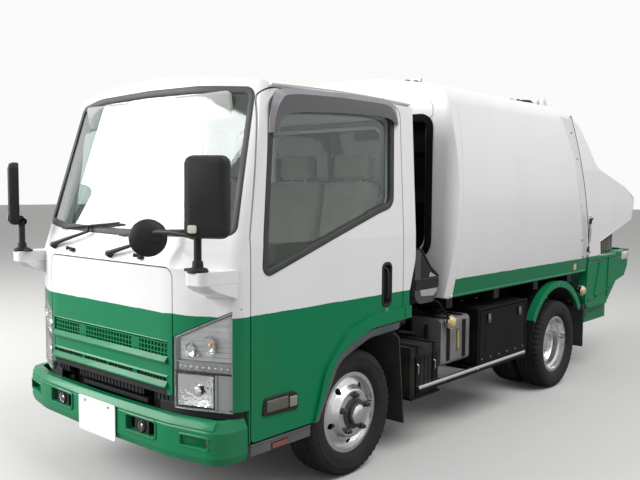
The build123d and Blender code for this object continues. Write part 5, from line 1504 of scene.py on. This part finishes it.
# The stiffening band ahead of the tailgate, the body's rear edge, the dark rubber in the joint, and bolts.
band = smooth_line([(2434, 2105), (2527, 1944), (2596, 1787), (2645, 1595), (2714, 1400), (2798, 1199),
                    (2868, 994)], 6)
bead(body, band, [(-1, -7), (1.5, -2), (4.5, 3), (4.5, 9), (-1, 12)], body_x)
rear_edge = [(split_y(z) - 9, z) for z in spread(1000, 2130, 26)]
bead(body, rear_edge, [(-1, -16), (5, -14), (6, -2), (-1, 0)], body_x)
joint = [(split_y(z), z) for z in spread(995, 2140, 26)]
bead(body, joint, [(-3, -2), (7, -1), (7, 4), (-3, 5)], body_x, paint=2)
for y, z in ((2709, 1799), (2716, 1424), (2650, 2000), (2820, 1150), (2900, 1010)):
    head = [(-1, 11), (5, 10), (8, 6), (8.5, 0)]
    body.turned([(body_x(y, z) + proud, radius) for proud, radius in head], (0, y, z), 10, paint=3)
body.both_sides()
# Stiffening plates between the band and the tailgate's joint, in a greyer paint that is painted shade on the
# taper, which faces rearwards.
plates = Piece("stiffening_plates", panel_paint("plate_shade_grey", 0.992, upper=(0.60, 0.60, 0.615)))
loops = []
for y, z in band:
    places = spread(y + 13, split_y(z) - 27, 5)
    loops.append([(body_x(place, z) + 1.2, place, z) for place in places]
                 + [(body_x(place, z) - 1.0, place, z) for place in reversed(places)])
plates.skin(loops)
plates.both_sides()
plates.mounted("chassis", "white_paint", sharp=50)
# Roof seams across the top.
for place in (1260, 1700, 2140):
    seam_rows = [(place - 6, -1), (place - 2, 2.2), (place + 2, 2.2), (place + 6, -1)]
    body.skin([[(x, y, roof_z(x) + proud) for y, proud in seam_rows] for x in spread(-760, 760, 40)])


def on_mouth(x, z, proud):
    """A place on the wall round the body's front opening."""
    return x, 826 - proud, z


# The bead round the front opening, a white head plate that lowers its top edge, and the wide black rubber
# frame that surrounds it.
mouth = rounded_box(-690, 690, 1150, 2090, 110, steps=10)
ring(body, mouth, [(-3, -18), (-3, 2), (4, 4), (17, 2), (17, -1), (0, -14)], on_mouth)
sheet(body, rounded_box(-735, 735, 1990, 2118, 20, 80), [(0, 0), (0, 4), (-2, 5), (-6, 5)], on_mouth)
opening_edge = rounded_box(-738, 738, 1110, 2014, 120, 90, steps=10)
ring(body, opening_edge, [(0, 0), (0, 7), (-3, 9), (-46, 9), (-52, -6)], on_mouth, paint=2)
body.mounted("chassis", "white_paint", sharp=45)

# Inside the body behind the opening: near-black panels and liner ribs that are painted shade, with hoses and
# valve blocks by the ejector's cylinder.
gear = Piece("body_front_gear", dark_gap_and_shade, black_steel, bolt_steel, dark_plastic)
for x, z in (((-700, -130), (890, 2130)), ((130, 700), (890, 2130)), ((-130, 130), (890, 1370)),
             ((-130, 130), (1630, 2130))):
    gear.box(x, (946, 950), z)
for x in (-640, -330, 330, 640):
    gear.box((x - 14, x + 14), (905, 945), (900, 2120))
for z in (1100, 1800):
    gear.box((-700, 700), (905, 940), (z - 16, z + 16))
for x in spread(-520, -272, 4):
    gear.box((x - 26, x + 26), (876, 940), (1240, 1340), paint=1)
    gear.pipe([(x, 876, 1290), (x, 846, 1290), (x + 20, 842, 1200), (x + 30, 850, 1000), (x + 30, 880, 900)],
              11, 10, paint=3)
gear.pipe([(80, 880, 1560), (200, 862, 1620), (420, 860, 1560), (520, 866, 1320), (540, 880, 1000)], 13,
          paint=3)
gear.pipe([(-80, 880, 1440), (-200, 862, 1400), (-330, 862, 1360), (-380, 876, 1300)], 13, paint=3)
gear.mounted("chassis", "black_steel", bevel=2)

# Steel underside: mounting plates bolted to the frame's rails, and the sills' edges.
mountings = Piece("body_mountings", black_steel, bolt_steel)
for place in (1010, 1420, 1840, 2260, 2660):
    mountings.box((374, 384), (place - 55, place + 55), (560, 860))
    for z in (600, 650, 760, 820):
        for y in (place - 34, place + 34):
            mountings.bolt(384, 11, 8, (0, y, z), 6, paint=1)
mountings.box((800, 824), (880, 3010), (868, 882))
mountings.both_sides()
mountings.mounted("chassis", "black_steel", bevel=1)

# Marker lamps on stalks: pale amber lenses in chromed rims, two to a side, on thin bent brackets.
marker_lens = finish_of("marker_lens", (0.66, 0.46, 0.20), 0.18, 0.35, 70.0, 0.2, Coat_Weight=1.0)
stalks = Piece("stalk_lamps", black_steel, chrome.material, marker_lens)
rim_rows = [(808, 0), (808, 30), (818, 40), (830, 43), (838, 43), (838, 39)]
lens_rows = [(836, 39.5), (850, 36), (860, 26), (864, 12), (865, 0)]
# Columns: y and height of the stalk's foot and of its lamp
for foot_y, foot_z, lamp_y, lamp_z in ((744, 872, 915, 722), (2750, 800, 2957, 719)):
    stalk = [(800, foot_y, foot_z + 10), (836, foot_y + 20, foot_z - 10), (838, lamp_y - 30, lamp_z + 26)]
    stalks.pipe(stalk, 7, 10)
    stalks.turned(rim_rows, (0, lamp_y, lamp_z), paint=1)
    stalks.turned(lens_rows, (0, lamp_y, lamp_z), paint=2)
x = body_x(2760, 928)
stalks.box((x - 6, x + 4), (2738, 2794), (905, 962), paint=1)
stalks.box((x + 3, x + 6), (2743, 2789), (910, 957), paint=2)
stalks.both_sides()
stalks.mounted("chassis", "black_steel", bevel=1)

# Roof fittings: bent hoses over the front edge and near the tailgate's hinge, on clips.
hoses = Piece("roof_hoses", dark_plastic, bolt_steel)
hoses.pipe([(560, 860, 2120), (556, 858, 2190), (550, 885, 2228), (540, 930, 2234), (534, 985, 2228),
            (530, 1010, 2214)], 8, 10)
hoses.pipe([(500, 860, 2120), (494, 858, 2196), (486, 890, 2238), (476, 945, 2244), (472, 1010, 2222)], 8, 10)
hoses.box((462, 566), (936, 950), (2218, 2252), paint=1)
# Columns: where each rear hose runs across, how high it bows
for x, bow in ((500, 30), (440, 38), (-480, 30)):
    hoses.pipe([(x, 2360, roof_z(x) - 6), (x, 2400, roof_z(x) + 12), (x + 12, 2480, 2246 + 0.2 * bow),
                (x + 16, 2570, 2252 + 0.2 * bow), (x + 4, 2640, 2248), (x, 2668, 2236)], 12)
    hoses.turned([(2392, 19), (2416, 19), (2416, 12)], (x + 2, 0, roof_z(x) + 12), 6, axis="Y", paint=1)
hoses.mounted("chassis", "dark_plastic", bevel=0.8)

# Ejector: cylinder and stages in black and bright steel, with a gland ring and a hose at the fixed end.
dress(black_steel, "ejector_cylinder")
cylinder_bright = Finish("cylinder_bright", (0.62, 0.62, 0.63), 0.18, Metallic=1.0)
oil_film = cylinder_bright.ramp(cylinder_bright.noise(22.0, 4.0), (0.4, 0.0), (0.8, 1.0))
cylinder_bright.set("Roughness", 0.15 + 0.3 * oil_film)
dress(cylinder_bright.material, "ejector_stage_one", "ejector_stage_two")
gland = Piece("cylinder_gland", black_steel, bolt_steel)
gland_rows = [(1360, 80.5), (1360, 90), (1400, 90), (1403, 84), (1403, 80.5)]
gland.turned(gland_rows, (0, 0, 1500), 40, axis="Y", closed=True)
gland.pipe([(0, 900, 1580), (0, 900, 1612), (30, 884, 1630)], 12, 10)
gland.mounted("chassis", "black_steel", bevel=1)


# Tailgate: white box-section sides under a sloping cover, with a turnbuckle clamp on each side, hinge
# arms, grab bars on the slope and dark rubber along its joint.
dress(body_paint, "tailgate")
dress(white_paint, "packer_slider", "packing_blade")


def tail_x(z):
    """The tailgate's half width at a height."""
    return min(842.0, barrel_x(z, tail_widths))


def tail_side(y, z):
    """The same for a place on the side, as the beads need it."""
    return tail_x(z)


tail = Piece("tailgate_fittings", body_paint, dark_plastic, bolt_steel, rubber_seal)
# The turnbuckle: dark eyes, a bright body and threaded ends along the joint.
eye_top, eye_low = Vector((3040, 1315)), Vector((2996, 1040))
clamp_x = tail_x(1180) + 13
spots = [(clamp_x + 4, *eye_top.lerp(eye_low, share)) for share in (0.0, 0.16, 0.3, 0.7, 0.84, 1.0)]
# Columns: radius, sides, colour
clamp_parts = [(11, 12, 1), (7, 10, 2), (13, 12, 2), (7, 10, 2), (11, 12, 1)]
for start, end, (radius, sides, paint) in zip(spots, spots[1:], clamp_parts):
    tail.pipe([start, end], radius, sides, paint=paint)
for y, z in (eye_top, eye_low):
    tail.box((clamp_x - 16, clamp_x + 12), (y - 4, y + 40), (z - 24, z + 24))
    tail.bolt(clamp_x + 12, 12, 8, (0, y + 10, z), 6, paint=2)
# A folded flange along the joint, and a crease where the upright side post ends and the wing begins.
flange_line = [(split_y(z) + 5, z) for z in spread(1000, 2120, 26)]
bead(tail, flange_line, [(-1, 0), (6, 2), (6, 16), (-1, 22)], tail_side)
crease_line = [(3300 - 90 * share, 1004 + 720 * share) for share in spread(0, 1, 16)]
bead(tail, crease_line, [(-1, -7), (2.2, -2), (2.2, 2), (-1, 7)], tail_side)
# The wing's lower edge, rolled, and the rim that runs up behind it.
wing_edge = [(3312, 1116), (3500, 1160), (3700, 1207), (3900, 1254), (4030, 1286)]
tail.pipe([(tail_x(z) - 7, y, z - 2) for y, z in wing_edge], 9, 10)
rim = smooth_line([(4044, 1296), (4074, 1360), (4106, 1440), (4080, 1490), (3960, 1543), (3883, 1570)], 4)
tail.pipe([(tail_x(z) - 8, y - 2, z - 4) for y, z in rim], 8, 8)
tail.both_sides()
# Grab bars, brackets and hoses on the slope between roof and wing.
for middle in (-430, 430):
    left, right = middle - 130, middle + 130
    grab_bar = [(left, 2840, 2118), (left, 2868, 2146), (right, 2868, 2146), (right, 2840, 2118)]
    tail.pipe(grab_bar, 9, 10, paint=1)
    for x in (left, right):
        tail.box((x - 15, x + 15), (2810, 2860), (2098, 2124), paint=1)
for x in (640, 560, -600):
    tail.pipe([(x, 3052, 1900), (x, 3076, 1924), (x, 3150, 1812), (x, 3130, 1790)], 10, 10, paint=1)
    tail.turned([(x - 20, 26), (x + 20, 26), (x + 22, 0)], (0, 3168, 1800), 20, paint=1)
slope_hose = [(700, 2990, 1985), (690, 3030, 1985), (660, 3080, 1925), (650, 3180, 1790), (640, 3260, 1745)]
tail.pipe(slope_hose, 11, 10, paint=3)
for x in spread(-700, 700, 7):
    tail.bolt(1722, 10, 9, (x, 3300, -6), axis="Z", paint=2)
# A plain bar under the wing's rear edge and two work lamps above it.
tail.box((-760, 760), (4016, 4030), (1330, 1352))
for place in (-560, 560):
    lamp_rows = [(4026, 0), (4026, 36), (4052, 40), (4056, 34), (4054, 0)]
    tail.turned(lamp_rows, (place, 0, 1410), 28, axis="Y", paint=1)
tail.mounted("tailgate", "white_paint", bevel=0.8, sharp=45)

# Ribbed, dusty inner sides of the hopper mouth, seen under the wing, and a scraper along its sill.
worn_liner = finish_of("worn_liner", (0.16, 0.145, 0.13), 0.7, 0.9, 60.0, 0.4, (0.30, 0.26, 0.22))
liner = Piece("hopper_liner", worn_liner, green_paint, bolt_steel, dark_plastic)
for number in range(9):
    y = 3345 + 44 * number
    liner.box((772, 792), (y, y + 20), (1012, 1085 + 10.3 * number))
liner.box((768, 774), (3312, 3700), (1008, 1040))
for y in spread(3080, 3300, 5):
    liner.bolt(842, 11, 7, (0, y, 960), paint=2)
liner.both_sides()
liner.box((-768, 768), (3958, 3976), (1004, 1018), paint=1)
liner.mounted("tailgate", "green_paint", bevel=1)


# Hopper bucket: green steel with stiffening ribs, a rolled mouth edge and lamp boxes behind.
# The ribs are folded strips welded to its sides and round its floor.
dress(green_paint, "hopper")
bucket = Piece("hopper_ribs", green_paint, bolt_steel, dark_plastic, rust_steel)
hopper_side = 842
# Columns: outline on the bucket's side, how proud
side_ribs = [
    ([(3322, 984), (3352, 984), (3212, 640), (3180, 640)], 9),
    ([(3500, 984), (3526, 984), (3500, 650), (3474, 620)], 9),
    ([(3060, 640), (3060, 620), (3600, 700), (3610, 722)], 9),
    ([(3048, 984), (3048, 962), (3690, 962), (3690, 984)], 7),
    ([(3700, 1000), (3700, 976), (3974, 976), (3974, 1004)], 7),
    ([(3026, 600), (3024, 578), (3060, 563), (3470, 563), (3475, 585)], 8),
]
for rows, proud in side_ribs:
    bucket.across(rows, hopper_side - 2, hopper_side + proud)
for y in (3090, 3180, 3270, 3400, 3580, 3660, 3760, 3900):
    bucket.bolt(hopper_side, 10, 7, (0, y, 940 if y < 3700 else 950), paint=1)
# The lamp box's hood.
bucket.box((764, 846), (3974, 4000), (1000, 1012))
bucket.both_sides()
bucket.pipe([(-hopper_side, 3972, 1004), (hopper_side, 3972, 1004)], 8, 10)
floor_rib = [(3070, 562), (3470, 562), (3702, 744), (3904, 776),
             (3904, 764), (3706, 728), (3474, 548), (3070, 548)]
for place in (-520, -260, 0, 260, 520):
    bucket.across(floor_rib, place - 6, place + 6)
bucket.mounted("tailgate", "green_paint", bevel=1.5, sharp=45)

# Tail lamps: three stacked lenses to a side, red at the top, and a pale reflector on each side wall.
pale_lamp = finish_of("pale_lamp", (0.62, 0.60, 0.56), 0.2, 0.3, 90.0, 0.2, Coat_Weight=0.8)
red_lens = finish_of("red_lens", (0.36, 0.010, 0.010), 0.15, 0.2, 160.0, 0.25, Coat_Weight=1.0)
dress(dark_plastic, "tail_lamps")
lamps = Piece("tail_lamp_lenses", red_lens, marker_lens, pale_lamp, chrome.material)
# Columns: low edge, high edge, colour
for low, high, paint in ((884, 918, 2), (921, 957, 1), (960, 997, 0)):
    lens_rows = [(0, 3990), (0, 4000), (-3, 4004), (-9, 4005)]
    sheet(lamps, rounded_box(776, 830, low, high, 5), lens_rows, facing_ahead, paint=paint)
lamps.box((842, 850), (3800, 3968), (920, 998), paint=3)
sheet(lamps, rounded_box(3808, 3960, 926, 992, 6), [(0, 849), (0, 855), (-4, 858)], facing_side, paint=2)
lamps.both_sides()
lamps.mounted("tailgate", "red_lens", bevel=0.8, sharp=45)

# Packer: worn steel edge and ribs on the blade, bolted, and ribs on the slider's face.
edge_steel = finish_of("edge_steel", (0.42, 0.41, 0.40), 0.35, 0.7, 60.0, 0.2, (0.25, 0.17, 0.12),
                       Metallic=1.0)
down_y, down_z = 0.2486, -0.9686
hinge_y, hinge_z = split_y(1540) + 72, 1540


def beside_blade(down, offset):
    """A place on the blade's side outline: how far below its hinge, and how far to the rear."""
    return hinge_y + offset + down_y * down, hinge_z + down_z * down


blade = Piece("blade_edge", edge_steel, white_paint, bolt_steel)
bolt_y, bolt_z = beside_blade(398, 32)
blade.bolt(bolt_y, 9, 8, (-715, 0, bolt_z), axis="Y")
repeat(blade, 12, (130, 0, 0), paint=2)
edge_rows = [beside_blade(*spot) for spot in ((380, 28), (380, 36), (438, 14), (438, 2), (428, 6))]
blade.across(edge_rows, -758, 758)
rib_rows = [beside_blade(*spot) for spot in ((70, 26), (70, 44), (280, 52), (360, 30), (300, 30))]
for place in (-640, -320, 0, 320, 640):
    blade.across(rib_rows, place - 8, place + 8, paint=1)
blade.mounted("packing_blade", "white_paint", bevel=1)
slider = Piece("slider_ribs", white_paint, edge_steel)
slider_rib = [(split_y(z) + 72 + behind, z) for z, behind in ((1600, 28), (1600, 46), (1940, 46), (1960, 28))]
for place in (-660, -400, 0, 400, 660):
    slider.across(slider_rib, place - 7, place + 7)
slider.mounted("packer_slider", "white_paint", bevel=1)


# Rear fenders: rolled green sheet with a folded rim, on stays from the frame; the flaps are ribbed
# rubber on steel bars, and the under-run box closes the space below the bucket.
# Inboard of 0.80 m the fenders are black: painted shade with underbody dirt.
dress(panel_paint("fender_paint", None, upper=green, inboard=0.80), "rear_fenders")
flap_rubber = finish_of("flap_rubber", (0.018, 0.018, 0.019), 0.75, 0.7, 200.0, 0.3, (0.07, 0.065, 0.058))
dress(flap_rubber, "mudflaps")
fender_y, fender_z = 2452, 338


def on_fender(degrees, radius):
    """The y and z of a place on the fender's arc."""
    return fender_y + radius * cos(radians(degrees)), fender_z + radius * sin(radians(degrees))


fenders = Piece("fender_rims", green_paint, black_steel, bolt_steel)
# Columns: radius, x
rim_rows = [(505, 846), (508, 851), (507, 856), (500, 857), (476, 856), (460, 857), (456, 853), (458, 846),
            (470, 848), (495, 848)]
fenders.skin([[(x, *on_fender(degrees, radius)) for radius, x in rim_rows]
              for degrees in spread(30.5, 149.5, 52)])
for degrees in (50, 90, 130):
    fenders.bolt(856, 7, 5, (0, *on_fender(degrees, 480)), paint=2)
for place in (2160, 2700):
    fenders.pipe([(376, place, 640), (600, place, 650), (840, place, 660)], 12, 10, paint=1)
fenders.both_sides()
fenders.mounted("chassis", "green_paint", sharp=45)
flaps = Piece("flap_details", flap_rubber, black_steel, bolt_steel)
flaps.box((621, 629), (2977, 2981), (262, 540))
repeat(flaps, 8, (28, 0, 0))
flaps.box((606, 840), (2976, 2984), (528, 562), paint=1)
for x in (640, 720, 800):
    flaps.bolt(2983, 9, 7, (x, 0, 545), axis="Y", paint=2)
for x in spread(590, 780, 5):
    flaps.skin([[(x - 4, y, z), (x + 4, y, z), (x + 4, y + 4, z + 1), (x - 4, y + 4, z + 1)]
                for y, z in ((407, 686), (438, 430), (470, 190))])
flaps.both_sides()
flaps.mounted("chassis", "flap_rubber", bevel=0.6)

dress(green_paint, "rear_bumper")
under_run = Piece("under_run_details", green_paint, black_steel, bolt_steel, red_reflector, plate_white)
under_run.box((795, 799), (3140, 3550), (462, 508))
under_run.box((500, 640), (3577, 3583), (462, 506), paint=3)
under_run.box((300, 376), (2990, 3112), (494, 500), paint=1)
under_run.both_sides()
for z in ((426.5, 434), (534, 541.5)):
    under_run.box((-797, 797), (3108, 3580), z)
under_run.box((-120, 120), (3577, 3582), (432, 536), paint=1)
under_run.box((-115, 115), (3581, 3584), (438, 530), paint=4)
under_run.mounted("chassis", "green_paint", bevel=1)
